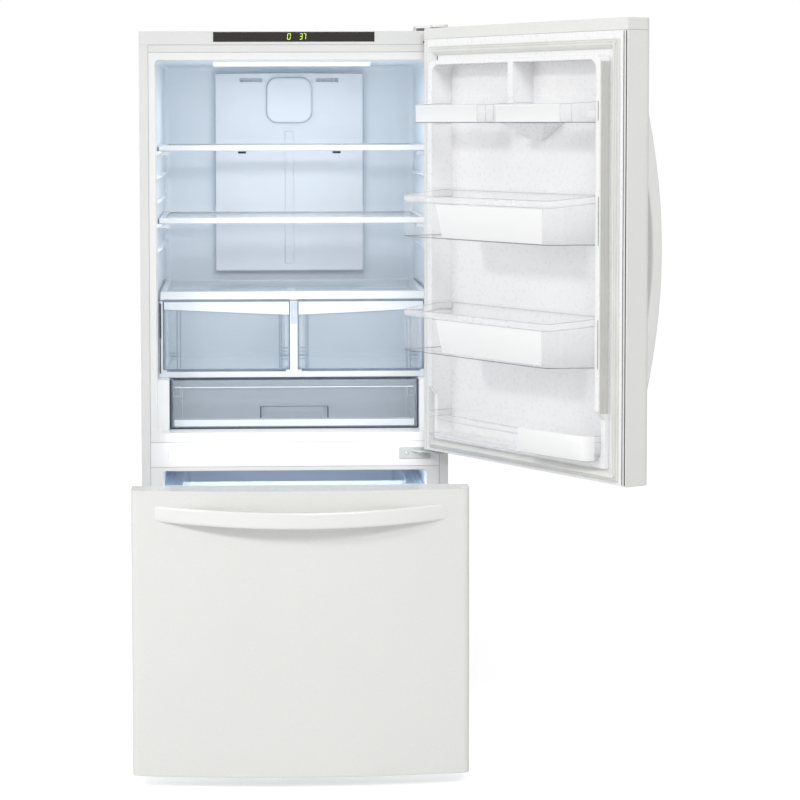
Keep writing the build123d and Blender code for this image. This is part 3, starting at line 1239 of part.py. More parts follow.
DUCT_TOP = FRESH_CEILING - DUCT_TOP_GAP
DUCT_BOTTOM = COVER_LID + DUCT_LOW_GAP
DUCT_BACK = LINER_DEPTH - SEAT
DUCT_FACE = DUCT_BACK - DUCT_DEPTH
VENT_X = 103.0
VENT_WIDTH = 60.0
VENT_HEIGHT = 10.0
VENT_Z = DUCT_TOP - 21.0
STRIP_DROP = 158.0        # from the cover's top to the outlet strip
CLIP_X = 128.0
CLIP_WIDTH = 22.0
CLIP_Z = LEDGE_TOP - 11.0
with BuildPart() as rear_duct_cover:
    with BuildSketch(Plane.XZ.offset(-DUCT_BACK)):
        with Locations((0, (DUCT_BOTTOM + DUCT_TOP) / 2)):
            RectangleRounded(2 * DUCT_HALF, DUCT_TOP - DUCT_BOTTOM, 6.0)
    extrude(amount=DUCT_DEPTH)
    fillet(rear_duct_cover.faces().sort_by(Axis.Y)[0].edges(), 5.0)
    # air outlets at the top, with their dividing bars, and the long outlet strip down the middle
    with BuildSketch(Plane.XZ.offset(-DUCT_FACE)):
        with Locations((-VENT_X, VENT_Z), (VENT_X, VENT_Z)):
            Rectangle(VENT_WIDTH, VENT_HEIGHT)
    extrude(amount=-12.0, mode=Mode.SUBTRACT)
    with BuildSketch(Plane.XZ.offset(-DUCT_FACE)):
        for vent in (-VENT_X, VENT_X):
            with Locations((vent, VENT_Z)):
                with GridLocations(VENT_WIDTH / 5, 1, 4, 1):
                    Rectangle(2.0, VENT_HEIGHT)
    extrude(amount=-9.0)
    # two slots under the upper shelf
    with BuildSketch(Plane.XZ.offset(-DUCT_FACE)):
        with Locations((-CLIP_X, CLIP_Z), (CLIP_X, CLIP_Z)):
            Rectangle(CLIP_WIDTH, 6.0)
    extrude(amount=-12.0, mode=Mode.SUBTRACT)
    strip_low = DUCT_BOTTOM + 20.0
    strip_high = DUCT_TOP - STRIP_DROP
    with BuildSketch(Plane.XZ.offset(-DUCT_FACE)):
        with Locations((0, (strip_low + strip_high) / 2)):
            Rectangle(25.0, strip_high - strip_low)
            Rectangle(21.0, strip_high - strip_low - 4.0, mode=Mode.SUBTRACT)
    extrude(amount=-1.5, mode=Mode.SUBTRACT)
finish(rear_duct_cover.part, "rear_duct_cover")

DIFFUSER_Z = DUCT_TOP - 75.0
with BuildPart() as diffuser_cover:
    with BuildSketch(Plane.XZ.offset(-DUCT_FACE + SEAT)):
        with Locations((0, DIFFUSER_Z)):
            RectangleRounded(DIFFUSER, DIFFUSER, 31.0)
    extrude(amount=DIFFUSER_DEPTH)
    fillet(diffuser_cover.faces().sort_by(Axis.Y)[0].edges(), 6.0)
finish(diffuser_cover.part, "diffuser_cover")

LENS_HALF = 200.0
LENS_FRONT = 250.0
LENS_WIDTH = 84.0
LENS_DROP = 9.0
with BuildPart() as light_lens:
    lens_top = FRESH_CEILING - SEAT
    with BuildSketch(Plane.YZ.offset(-LENS_HALF)):
        with BuildLine():
            Line((LENS_FRONT, lens_top), (LENS_FRONT + LENS_WIDTH, lens_top))
            ThreePointArc(
                (LENS_FRONT + LENS_WIDTH, lens_top),
                (LENS_FRONT + LENS_WIDTH / 2, lens_top - LENS_DROP),
                (LENS_FRONT, lens_top),
            )
        make_face()
    extrude(amount=2 * LENS_HALF)
finish(light_lens.part, "light_lens")


# ================================================================ telescopic slides of the drawer
def channel(out, deep, span, front, length, mouth_in):
    """A pair of C-shaped rails: web towards the wall when the mouth looks in, else towards the basket."""
    web_out = out if mouth_in else out - deep + RAIL_SHEET
    with BuildPart() as rails:
        for side in (-1, 1):
            x_out = side * out
            x_in = side * (out - deep)
            slab(
                side * web_out, side * (web_out - RAIL_SHEET),
                front, front + length,
                RAIL_HEIGHT - span / 2, RAIL_HEIGHT + span / 2,
            )
            for edge in (-1, 1):
                outer = RAIL_HEIGHT + edge * span / 2
                slab(x_in, x_out, front, front + length, outer, outer - edge * RAIL_SHEET)
    return rails.part


finish(channel(RAIL_OUT, RAIL_DEEP, RAIL_SPAN, RAIL_FRONT, RAIL_LENGTH, True), "slide_rails_outer")

middle_span = RAIL_SPAN - 2 * RAIL_STEP
middle_rails = channel(RAIL_MIDDLE, RAIL_DEEP - RAIL_STEP, middle_span, RAIL_FRONT, RAIL_LENGTH, True)
finish(pull(middle_rails, 0.5), "slide_rails_middle")

BASKET_FRONT = DYKE_REACH - GASKET_GAP + 14.0
BASKET_LENGTH = HUMP_FRONT - BASKET_BACK_GAP - BASKET_FRONT
inner_span = middle_span - 2 * RAIL_STEP
BEARER_TOP = RAIL_HEIGHT - inner_span / 2 + 4.0
RAIL_NOSE = -GASKET_GAP + SEAT
with BuildPart() as slide_rails_inner:
    add(channel(RAIL_INNER, RAIL_DEEP + RAIL_LUG, inner_span, RAIL_NOSE, RAIL_LENGTH, False))
    for side in (-1, 1):
        # bearers for the basket, and the bracket screwed to the drawer front
        slab(
            side * BEARER_IN, side * (BEARER_FACE + RAIL_SHEET),
            RAIL_NOSE, BASKET_LENGTH,
            BEARER_TOP - 3.0, BEARER_TOP,
        )
        slab(
            side * BEARER_IN, side * (BEARER_FACE + RAIL_SHEET),
            RAIL_NOSE, RAIL_NOSE + 3.0,
            RAIL_HEIGHT - 60.0, RAIL_HEIGHT + 60.0,
        )
finish(pull(slide_rails_inner.part), "slide_rails_inner")

# ---------------------------------------------------------------- basket and tray of the freezer
BASKET_TAPER = 2.0
with BuildPart() as freezer_basket:
    depth = BASKET_TOP - BASKET_BOTTOM
    middle = BASKET_FRONT + BASKET_LENGTH / 2
    with BuildSketch(Plane.XY.offset(BASKET_TOP)):
        with Locations((0, middle)):
            RectangleRounded(2 * BASKET_HALF, BASKET_LENGTH, 22.0)
    extrude(amount=-depth, taper=BASKET_TAPER)
    with BuildSketch(Plane.XY.offset(BASKET_TOP)):
        with Locations((0, middle)):
            RectangleRounded(2 * (BASKET_HALF - BASKET_WALL), BASKET_LENGTH - 2 * BASKET_WALL, 19.5)
    extrude(amount=-(depth - BASKET_WALL), taper=BASKET_TAPER, mode=Mode.SUBTRACT)
    # rolled rim
    with BuildSketch(Plane.XY.offset(BASKET_TOP)):
        with Locations((0, middle)):
            RectangleRounded(2 * BASKET_HALF + 12.0, BASKET_LENGTH + 12.0, 28.0)
            RectangleRounded(2 * BASKET_HALF - 1.0, BASKET_LENGTH - 1.0, 21.5, mode=Mode.SUBTRACT)
    extrude(amount=-8.0)
    # side ribs that hang on the rails' bearers
    for side in (-1, 1):
        slab(
            side * (BASKET_HALF - 5.5), side * (BEARER_FACE - RUN),
            BASKET_FRONT + 30.0, BASKET_FRONT + BASKET_LENGTH - 30.0,
            BEARER_TOP + SEAT, BEARER_TOP + SEAT + 5.0,
        )
finish(pull(freezer_basket.part), "freezer_basket")

with BuildPart() as freezer_tray:
    depth = TRAY_TOP - TRAY_BOTTOM
    middle = TRAY_FRONT + TRAY_LENGTH / 2
    with BuildSketch(Plane.XY.offset(TRAY_TOP)):
        with Locations((0, middle)):
            RectangleRounded(2 * TRAY_HALF, TRAY_LENGTH, 16.0)
    extrude(amount=-depth, taper=3)
    with BuildSketch(Plane.XY.offset(TRAY_TOP)):
        with Locations((0, middle)):
            RectangleRounded(2 * (TRAY_HALF - BASKET_WALL), TRAY_LENGTH - 2 * BASKET_WALL, 13.5)
    extrude(amount=-(depth - BASKET_WALL), taper=3, mode=Mode.SUBTRACT)
    # side flanges run on the liner's ledges
    for side in (-1, 1):
        slab(
            side * (TRAY_HALF - 2.0), side * (FREEZER_HALF - 6.0),
            TRAY_FRONT + 12.0, TRAY_FRONT + TRAY_LENGTH - 16.0,
            TRAY_LEDGE_TOP + RUN, TRAY_LEDGE_TOP + RUN + 3.0,
        )
finish(freezer_tray.part, "freezer_tray")


# ================================================================ air and cooling
def fan(radius, hub_radius, depth, blade_count, pitch, bore):
    """An axial fan about +Z: a hub with a blind bore and pitched, round-tipped blades."""
    with BuildPart() as rotor:
        with BuildSketch():
            Circle(hub_radius)
        extrude(amount=depth / 2, both=True)
        blade_length = radius - hub_radius
        chord = (depth - 3.0) / sin(radians(pitch))
        for k in range(blade_count):
            blade_plane = Plane.XY.rotated((0, 0, 360.0 * k / blade_count))
            with BuildSketch(Plane(
                origin=blade_plane.from_local_coords((hub_radius - 2.0, 0, 0)),
                x_dir=blade_plane.from_local_coords((0, cos(radians(pitch)), sin(radians(pitch)))),
                z_dir=blade_plane.from_local_coords((0, -sin(radians(pitch)), cos(radians(pitch)))),
            )) as blade:
                Trapezoid(chord, blade_length + 1.0, 96, align=(Align.CENTER, Align.MAX))
                fillet(blade.vertices().group_by(Axis.Y)[0], 9.0)
            extrude(amount=0.8, both=True)
        with BuildSketch(Plane.XY.offset(-depth / 2)):
            Circle(bore)
        extrude(amount=depth * 0.7, mode=Mode.SUBTRACT)
    return rotor.part


FROST_FAN_DROP = 78.0     # below the freezer's ceiling
SLOT_PITCH = 64.0
SLOT_COUNT = 8
MOTOR_BACK_GAP = 17.0
FROST_FAN_Z = FREEZER_CEILING - FROST_FAN_DROP
FROST_FAN_Y = EVAPORATOR_COVER + 22.0
FAN_DEPTH = 16.0
BORE = SHAFT_RADIUS + SHAFT_FIT
with BuildPart() as evaporator_cover:
    cover_half = FREEZER_HALF - 1.0
    cover_low = HUMP_TOP + SEAT
    cover_high = FREEZER_CEILING - SEAT
    slab(-cover_half, cover_half, EVAPORATOR_COVER, EVAPORATOR_COVER + 4.0, cover_low, cover_high)
    fillet(evaporator_cover.edges().filter_by(Axis.Y), OPENING_RADIUS + 1.0)
    # two rows of outlets over the fan, and return air slots along the bottom
    with BuildSketch(Plane.XZ.offset(-EVAPORATOR_COVER)):
        for row in (cover_high - 18.0, cover_high - 34.0, cover_low + 26.0):
            with Locations((0, row)):
                with GridLocations(SLOT_PITCH, 1, SLOT_COUNT, 1):
                    SlotOverall(50.0, 9.0)
    extrude(amount=-5.0, mode=Mode.SUBTRACT)
    # the motor stands behind the fan on three stays
    motor_back = FROST_FAN_Y + FAN_DEPTH / 2
    with BuildSketch(Plane.XZ.offset(-(motor_back + 2.0))):
        with Locations((0, FROST_FAN_Z)):
            Circle(22.0)
    extrude(amount=motor_back + 2.0 - LINER_DEPTH + MOTOR_BACK_GAP)
    with BuildSketch(Plane.XZ.offset(-(motor_back + 2.0))):
        with Locations((0, FROST_FAN_Z)):
            Circle(SHAFT_RADIUS)
    extrude(amount=FAN_DEPTH * 0.6)
    for k in range(3):
        turn = radians(90.0 + 120.0 * k)
        stay_x = (FROST_FAN_RADIUS + 9.0) * cos(turn)
        stay_z = FROST_FAN_Z + (FROST_FAN_RADIUS + 9.0) * sin(turn)
        slab(stay_x - 3.0, stay_x + 3.0, EVAPORATOR_COVER + 3.0, motor_back + 10.0, stay_z - 3.0, stay_z + 3.0)
        with BuildSketch(Plane.XZ.offset(-(motor_back + 4.0))):
            with Locations((stay_x / 2, (FROST_FAN_Z + stay_z) / 2)):
                Rectangle(FROST_FAN_RADIUS + 9.0, 6.0, rotation=90.0 + 120.0 * k)
        extrude(amount=-5.0)
finish(evaporator_cover.part, "evaporator_cover")

frost_fan = fan(FROST_FAN_RADIUS, 15.0, FAN_DEPTH, 5, 28.0, BORE)
frost_place = Plane(origin=(0, FROST_FAN_Y, FROST_FAN_Z), x_dir=(1, 0, 0), z_dir=(0, -1, 0))
finish(frost_fan.moved(frost_place.location), "evaporator_fan")


def coil(x0, x1, y0, y1, z0, z1, rows, columns, tube, fins):
    """A finned coil: straight tubes joined by return bends at their ends, through a row of fins."""
    with BuildPart() as finned:
        row_step = (z1 - z0) / rows
        for column in range(columns):
            y = y0 + (y1 - y0) * (column + 0.5) / columns
            for row in range(rows):
                z = z0 + row_step * (row + 0.5)
                with BuildSketch(Plane.YZ.offset(x0)):
                    with Locations((y, z)):
                        Circle(tube)
                extrude(amount=x1 - x0)
                if row + 1 < rows:
                    end_x = x1 if row % 2 == 0 else x0
                    turn = 1 if row % 2 == 0 else -1
                    with BuildSketch(Plane(origin=(end_x, y, z), x_dir=(0, 1, 0), z_dir=(turn, 0, 0))):
                        Circle(tube)
                    revolve(
                        axis=Axis((end_x, y, z + row_step / 2), (0, turn, 0)),
                        revolution_arc=-180,
                    )
        fin_step = (x1 - x0 - 20.0) / (fins - 1)
        for k in range(fins):
            x = x0 + 10.0 + k * fin_step
            slab(x - 0.6, x + 0.6, y0, y1, z0, z1)
    return finned.part


EVAPORATOR_LOW = HUMP_TOP + 18.0
EVAPORATOR_HALF = 250.0
EVAPORATOR_HEIGHT = 126.0
with BuildPart() as evaporator_coil:
    fin_front = EVAPORATOR_COVER + 14.0
    fin_back = LINER_DEPTH - 8.0
    fin_top = EVAPORATOR_LOW + EVAPORATOR_HEIGHT
    add(coil(-EVAPORATOR_HALF, EVAPORATOR_HALF, fin_front, fin_back, EVAPORATOR_LOW, fin_top, 4, 2, 4.0, 22))
    # end plates stand on the stepped floor
    for side in (-1, 1):
        plate = side * (EVAPORATOR_HALF - 4.0)
        slab(plate - 1.0, plate + 1.0, fin_front, fin_back, HUMP_TOP + SEAT, fin_top)
finish(evaporator_coil.part, "evaporator_coil")

# ================================================================ machine space
COMPRESSOR_X = -215.0
COMPRESSOR_Y = CASE_DEPTH - COMPRESSOR_BACK_GAP
COMPRESSOR_BASE = DECK_TOP + 14.0
with BuildPart() as compressor:
    # the welded shell: two domed halves with a seam, turned about its upright axis
    shell_mid = COMPRESSOR_BASE + COMPRESSOR_HEIGHT * 0.52
    with BuildSketch(Plane.XZ) as shell_half:
        with BuildLine():
            Line((0, COMPRESSOR_BASE), (COMPRESSOR_RADIUS * 0.7, COMPRESSOR_BASE))
            TangentArc(
                (COMPRESSOR_RADIUS * 0.7, COMPRESSOR_BASE),
                (COMPRESSOR_RADIUS, COMPRESSOR_BASE + COMPRESSOR_RADIUS * 0.3),
                tangent=(1, 0),
            )
            Polyline(
                (COMPRESSOR_RADIUS, COMPRESSOR_BASE + COMPRESSOR_RADIUS * 0.3),
                (COMPRESSOR_RADIUS, shell_mid - 4.0),
                (COMPRESSOR_RADIUS + 4.0, shell_mid - 4.0),
                (COMPRESSOR_RADIUS + 4.0, shell_mid),
                (COMPRESSOR_RADIUS - 2.0, shell_mid),
                (COMPRESSOR_RADIUS - 2.0, COMPRESSOR_BASE + COMPRESSOR_HEIGHT * 0.72),
            )
            TangentArc(
                (0, COMPRESSOR_BASE + COMPRESSOR_HEIGHT),
                (COMPRESSOR_RADIUS - 2.0, COMPRESSOR_BASE + COMPRESSOR_HEIGHT * 0.72),
                tangent=(1, 0),
            )
            Line((0, COMPRESSOR_BASE + COMPRESSOR_HEIGHT), (0, COMPRESSOR_BASE))
        make_face()
    revolve(axis=Axis.Z)
    # base plate on four rubber feet
    with BuildSketch(Plane.XY.offset(COMPRESSOR_BASE - 4.0)):
        RectangleRounded(FEET_LONG + 2 * FOOT_MARGIN, FEET_WIDE + 2 * FOOT_MARGIN, 16.0)
    extrude(amount=5.0)
    with BuildSketch(Plane.XY.offset(DECK_TOP + SEAT)):
        with GridLocations(FEET_LONG, FEET_WIDE, 2, 2):
            Circle(11.0)
    extrude(amount=COMPRESSOR_BASE - 3.0 - DECK_TOP - SEAT)
    # relay box and process tube
    slab(
        COMPRESSOR_RADIUS * 0.8, COMPRESSOR_RADIUS + 26.0,
        -28.0, 28.0,
        COMPRESSOR_BASE + 40.0, COMPRESSOR_BASE + 104.0,
    )
    with BuildSketch(Plane.XZ.offset(-COMPRESSOR_RADIUS * 0.6)):
        with Locations((-30.0, COMPRESSOR_BASE + 96.0)):
            Circle(4.0)
    extrude(amount=-COMPRESSOR_RADIUS * 0.5)
finish(compressor.part.moved(Location((COMPRESSOR_X, COMPRESSOR_Y, 0))), "compressor")

PAN_LEFT = 66.0
PAN_RIGHT = 300.0
PAN_FRONT = STEP_FRONT + 30.0
PAN_BACK = BACK_SHEET_Y - 24.0
PAN_HEIGHT = 30.0
with BuildPart() as drain_pan:
    pan_x = (PAN_LEFT + PAN_RIGHT) / 2
    pan_y = (PAN_FRONT + PAN_BACK) / 2
    with BuildSketch(Plane.XY.offset(DECK_TOP + SEAT)):
        with Locations((pan_x, pan_y)):
            RectangleRounded(PAN_RIGHT - PAN_LEFT, PAN_BACK - PAN_FRONT, 14.0)
    extrude(amount=PAN_HEIGHT, taper=-6)
    with BuildSketch(Plane.XY.offset(DECK_TOP + SEAT + 2.0)):
        with Locations((pan_x, pan_y)):
            RectangleRounded(PAN_RIGHT - PAN_LEFT - 4.0, PAN_BACK - PAN_FRONT - 4.0, 12.0)
    extrude(amount=PAN_HEIGHT, taper=-6, mode=Mode.SUBTRACT)
finish(drain_pan.part, "drain_pan")

CONDENSER_LOW = DECK_TOP + PAN_HEIGHT + 10.0
CONDENSER_HIGH = STEP_TOP - 14.0
BRACE_FRONT = PAN_FRONT + 60.0
BRACE_WIDTH = 30.0
with BuildPart() as condenser_coil:
    add(
        coil(
            PAN_LEFT + 34.0, PAN_RIGHT - 34.0,
            PAN_FRONT + 16.0, PAN_BACK - 24.0,
            CONDENSER_LOW, CONDENSER_HIGH,
            4, 3, 3.5, 16,
        )
    )
    # end brackets stand on the floor beside the pan
    for x in (PAN_LEFT - 8.0, PAN_RIGHT + 8.0):
        slab(x - 1.0, x + 1.0, PAN_FRONT + 20.0, PAN_BACK - 30.0, DECK_TOP + SEAT, CONDENSER_HIGH)
    slab(
        PAN_LEFT - 8.0, PAN_RIGHT + 8.0,
        BRACE_FRONT, BRACE_FRONT + BRACE_WIDTH,
        CONDENSER_HIGH - 2.0, CONDENSER_HIGH,
    )
finish(condenser_coil.part, "condenser_coil")

MACHINE_FAN_X = 10.0
FAN_Y = COMPRESSOR_Y
FAN_Z = DECK_TOP + 26.0 + FAN_RADIUS + 14.0
SHROUD_HALF = FAN_RADIUS + 14.0
with BuildPart() as condenser_fan_motor:
    # a square shroud round the fan, standing on the floor
    shroud_back = MACHINE_FAN_X + FAN_DEPTH / 2 + 6.0
    with BuildSketch(Plane.YZ.offset(MACHINE_FAN_X - FAN_DEPTH / 2 - 6.0)):
        with Locations((FAN_Y, FAN_Z)):
            Rectangle(2 * SHROUD_HALF, 2 * SHROUD_HALF)
            Circle(FAN_RADIUS + 4.0, mode=Mode.SUBTRACT)
    extrude(amount=FAN_DEPTH + 12.0)
    slab(
        MACHINE_FAN_X - FAN_DEPTH / 2 - 6.0, shroud_back,
        FAN_Y - SHROUD_HALF, FAN_Y + SHROUD_HALF,
        DECK_TOP + SEAT, FAN_Z - SHROUD_HALF,
    )
    # motor on a cross bar, and its shaft
    slab(shroud_back - 4.0, shroud_back, FAN_Y - SHROUD_HALF, FAN_Y + SHROUD_HALF, FAN_Z - 9.0, FAN_Z + 9.0)
    with BuildSketch(Plane.YZ.offset(MACHINE_FAN_X + FAN_DEPTH / 2 + 1.0)):
        with Locations((FAN_Y, FAN_Z)):
            Circle(24.0)
    extrude(amount=28.0)
    with BuildSketch(Plane.YZ.offset(MACHINE_FAN_X + FAN_DEPTH / 2 + 2.0)):
        with Locations((FAN_Y, FAN_Z)):
            Circle(SHAFT_RADIUS)
    extrude(amount=-FAN_DEPTH * 0.65)
finish(condenser_fan_motor.part, "condenser_fan_motor")

machine_fan = fan(FAN_RADIUS, 17.0, FAN_DEPTH, 5, 30.0, BORE)
fan_place = Plane(origin=(MACHINE_FAN_X, FAN_Y, FAN_Z), x_dir=(0, 1, 0), z_dir=(-1, 0, 0))
finish(machine_fan.moved(fan_place.location), "condenser_fan")

COVER_LOW = DECK_TOP + SEAT
COVER_HIGH = STEP_TOP + DECK_SHEET + SEAT + 14.0
GLAND_X = -300.0
GLAND_Z = 110.0
GLAND_RADIUS = 9.0
with BuildPart() as machine_cover:
    cover_face = BACK_SHEET_Y + SEAT
    slab(-INSIDE + SEAT, INSIDE - SEAT, cover_face, cover_face + 1.5, COVER_LOW, COVER_HIGH)
    # louvre slots in two fields
    with BuildSketch(Plane.XZ.offset(-cover_face + 1.0)):
        for field in (-150.0, 190.0):
            with Locations((field, (COVER_LOW + COVER_HIGH) / 2)):
                with GridLocations(16.0, 1, 12, 1):
                    SlotOverall(120.0, 6.0, rotation=90)
        with Locations((GLAND_X, GLAND_Z)):
            Circle(GLAND_RADIUS + SEAT)
    extrude(amount=-4.0, mode=Mode.SUBTRACT)
finish(machine_cover.part, "machine_cover")

with BuildPart() as cord_gland:
    cover_face = BACK_SHEET_Y + SEAT
    with BuildSketch(Plane.XZ.offset(-(cover_face - 8.0))):
        with Locations((GLAND_X, GLAND_Z)):
            Circle(GLAND_RADIUS)
    extrude(amount=-10.5)
    with BuildSketch(Plane.XZ.offset(-(cover_face - 3.0))):
        with Locations((GLAND_X, GLAND_Z)):
            Circle(GLAND_RADIUS + 3.0)
    extrude(amount=-(3.0 - SEAT))
    with BuildSketch(Plane.XZ.offset(-(cover_face - 9.0))):
        with Locations((GLAND_X, GLAND_Z)):
            Circle(4.2)
    extrude(amount=-13.0, mode=Mode.SUBTRACT)
finish(cord_gland.part, "cord_gland")

# ================================================================ what the cabinet stands on
with BuildPart() as base_grille:
    grille_low = 7.0
    grille_high = DECK_BOTTOM - SEAT
    grille_half = FRAME_EDGE - 4.0
    slab(-grille_half, grille_half, 2.0, 4.5, grille_low, grille_high)
    slab(-grille_half, grille_half, 2.0, 20.0, grille_high - 2.5, grille_high)
    with BuildSketch(Plane.XZ.offset(-1.0)):
        with Locations((0, (grille_low + grille_high) / 2)):
            with GridLocations(48.0, 1, 12, 1):
                SlotOverall(38.0, 6.0)
    extrude(amount=-5.0, mode=Mode.SUBTRACT)
finish(base_grille.part, "base_grille")


def levelling_leg(side):
    """A round foot on a stud that is screwed up through the steel floor's boss."""
    with BuildPart() as leg:
        with BuildSketch():
            Circle(FOOT_RADIUS)
        extrude(amount=9.0)
        chamfer(leg.faces().sort_by(Axis.Z)[-1].edges(), 3.0)
        with BuildSketch(Plane.XY.offset(8.0)):
            Circle(STUD_RADIUS)
        extrude(amount=DECK_BOTTOM - 7.0)
        with BuildSketch(Plane.XY.offset(9.0)):
            RegularPolygon(STUD_RADIUS + 5.0, 6)
        extrude(amount=9.0)
    return leg.part.moved(Location((side * LEG_X, LEG_Y, 0)))


finish(levelling_leg(-1), "levelling_leg_left")
finish(levelling_leg(1), "levelling_leg_right")

with BuildPart() as rear_rollers:
    for side in (-1, 1):
        with BuildSketch(Plane.YZ.offset(side * WHEEL_X - WHEEL_WIDTH / 2)):
            with Locations((WHEEL_Y, WHEEL_RADIUS)):
                Circle(WHEEL_RADIUS)
                Circle(AXLE_RADIUS + SHAFT_FIT, mode=Mode.SUBTRACT)
        extrude(amount=WHEEL_WIDTH)
finish(rear_rollers.part, "rear_rollers")
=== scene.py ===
"""Looks of the bottom freezer refrigerator: upper door open, freezer drawer pulled out."""

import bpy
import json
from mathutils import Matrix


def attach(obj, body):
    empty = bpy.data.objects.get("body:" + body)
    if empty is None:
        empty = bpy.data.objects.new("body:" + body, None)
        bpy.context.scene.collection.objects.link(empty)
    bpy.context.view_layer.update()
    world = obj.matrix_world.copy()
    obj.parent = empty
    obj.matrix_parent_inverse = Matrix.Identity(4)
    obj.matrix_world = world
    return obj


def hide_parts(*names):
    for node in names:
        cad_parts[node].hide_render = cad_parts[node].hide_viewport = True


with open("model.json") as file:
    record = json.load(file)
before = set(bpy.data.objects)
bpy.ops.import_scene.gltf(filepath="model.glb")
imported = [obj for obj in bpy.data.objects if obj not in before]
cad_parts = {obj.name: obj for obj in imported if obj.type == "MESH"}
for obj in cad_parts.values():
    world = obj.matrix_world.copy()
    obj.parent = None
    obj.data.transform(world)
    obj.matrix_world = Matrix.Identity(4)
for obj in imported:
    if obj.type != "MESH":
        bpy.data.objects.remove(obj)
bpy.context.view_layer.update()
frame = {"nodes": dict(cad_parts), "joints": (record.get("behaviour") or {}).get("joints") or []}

import json
from math import cos, pi, radians, sin

import bmesh
import bpy
import numpy as np
from mathutils import Matrix, Vector

# ---------------------------------------------------------------- the studio
# A white floor under a white surround, soft light from the upper left and the front, a lamp inside each
# compartment, and a camera about six metres before the cabinet, turned a little right and tilted down.
studio = bpy.context.scene
studio.view_settings.view_transform = "Standard"
studio.cycles.transparent_max_bounces = 32
studio.cycles.diffuse_bounces = 6

CAMERA_AT = np.array([-0.1249, -5.9620, 1.4964])
CAMERA_YAW, CAMERA_PITCH, CAMERA_ROLL = 0.0286, 0.0626, -0.0027
FOCAL_PIXELS, FRAME_PIXELS = 2434.8, 800.0
AXIS_PIXEL = (313.2, 271.8)
ahead = np.array([
    sin(CAMERA_YAW) * cos(CAMERA_PITCH), cos(CAMERA_YAW) * cos(CAMERA_PITCH), -sin(CAMERA_PITCH),
])
level_right = np.array([cos(CAMERA_YAW), -sin(CAMERA_YAW), 0.0])
level_up = np.cross(level_right, ahead)
right = cos(CAMERA_ROLL) * level_right + sin(CAMERA_ROLL) * level_up
up = cos(CAMERA_ROLL) * level_up - sin(CAMERA_ROLL) * level_right
camera_data = bpy.data.cameras.new("studio_camera")
camera_data.sensor_width = 36.0
camera_data.lens = FOCAL_PIXELS / FRAME_PIXELS * 36.0
camera_data.shift_x = 0.5 - AXIS_PIXEL[0] / FRAME_PIXELS
camera_data.shift_y = AXIS_PIXEL[1] / FRAME_PIXELS - 0.5
camera_data.clip_end = 60.0
camera = bpy.data.objects.new("studio_camera", camera_data)
studio.collection.objects.link(camera)
camera.matrix_world = Matrix([[*column] for column in zip(right, up, -ahead, CAMERA_AT)]).to_4x4()
studio.camera = camera

sky = bpy.data.worlds.new("studio_sky")
studio.world = sky
sky.use_nodes = True
sky_nodes, sky_links = sky.node_tree.nodes, sky.node_tree.links
sky_nodes.clear()
seen_white = sky_nodes.new("ShaderNodeBackground")
seen_white.inputs["Color"].default_value = (1.0, 1.0, 1.0, 1.0)
seen_white.inputs["Strength"].default_value = 1.0
soft_light = sky_nodes.new("ShaderNodeBackground")
soft_light.inputs["Color"].default_value = (1.0, 1.0, 1.0, 1.0)
soft_light.inputs["Strength"].default_value = 0.60
ray = sky_nodes.new("ShaderNodeLightPath")
which = sky_nodes.new("ShaderNodeMixShader")
sky_links.new(ray.outputs["Is Camera Ray"], which.inputs[0])
sky_links.new(soft_light.outputs[0], which.inputs[1])
sky_links.new(seen_white.outputs[0], which.inputs[2])
sky_out = sky_nodes.new("ShaderNodeOutputWorld")
sky_links.new(which.outputs[0], sky_out.inputs["Surface"])


def soft_box(name, at, towards, wide, high, power, tint=(1.0, 1.0, 1.0)):
    """A rectangular soft box that looks from one point towards another."""
    lamp = bpy.data.lights.new(name, "AREA")
    lamp.shape = "RECTANGLE"
    lamp.size, lamp.size_y = wide, high
    lamp.energy = power
    lamp.color = tint
    holder = bpy.data.objects.new(name, lamp)
    studio.collection.objects.link(holder)
    holder.location = at
    holder.rotation_euler = (Vector(towards) - Vector(at)).to_track_quat("-Z", "Y").to_euler()


soft_box("key_box", (-4.9, -5.6, 5.3), (0.0, 0.0, 0.9), 1.0, 1.0, 150.0)
soft_box("left_box", (-7.0, -1.6, 2.4), (0.2, -0.2, 1.0), 4.0, 3.0, 80.0)
soft_box("front_box", (1.4, -6.6, 4.8), (0.0, 0.0, 0.9), 2.6, 1.4, 150.0)
soft_box("interior_fill", (0.0, -0.03, 1.13), (0.0, 0.5, 1.13), 0.62, 0.96, 1.35)
soft_box("freezer_fill", (0.0, 0.0, 0.58), (0.0, 0.5, 0.50), 0.60, 0.08, 0.95)

# The floor: white board, seen a little lighter than it is lit, so that it runs into the white behind.
BOARD_LIFT = 0.52
board = bpy.data.materials.new("white_board")
board.use_nodes = True
board_nodes, board_links = board.node_tree.nodes, board.node_tree.links
board_nodes.clear()
board_paint = board_nodes.new("ShaderNodeBsdfDiffuse")
board_paint.inputs["Color"].default_value = (0.80, 0.80, 0.80, 1.0)
board_lift = board_nodes.new("ShaderNodeEmission")
board_ray = board_nodes.new("ShaderNodeLightPath")
board_share = board_nodes.new("ShaderNodeMath")
board_share.operation = "MULTIPLY"
board_share.inputs[1].default_value = BOARD_LIFT
board_links.new(board_ray.outputs["Is Camera Ray"], board_share.inputs[0])
board_links.new(board_share.outputs[0], board_lift.inputs["Strength"])
board_sum = board_nodes.new("ShaderNodeAddShader")
board_links.new(board_paint.outputs[0], board_sum.inputs[0])
board_links.new(board_lift.outputs[0], board_sum.inputs[1])
board_out = board_nodes.new("ShaderNodeOutputMaterial")
board_links.new(board_sum.outputs[0], board_out.inputs["Surface"])
floor_mesh = bpy.data.meshes.new("studio_floor")
reach = 14.0
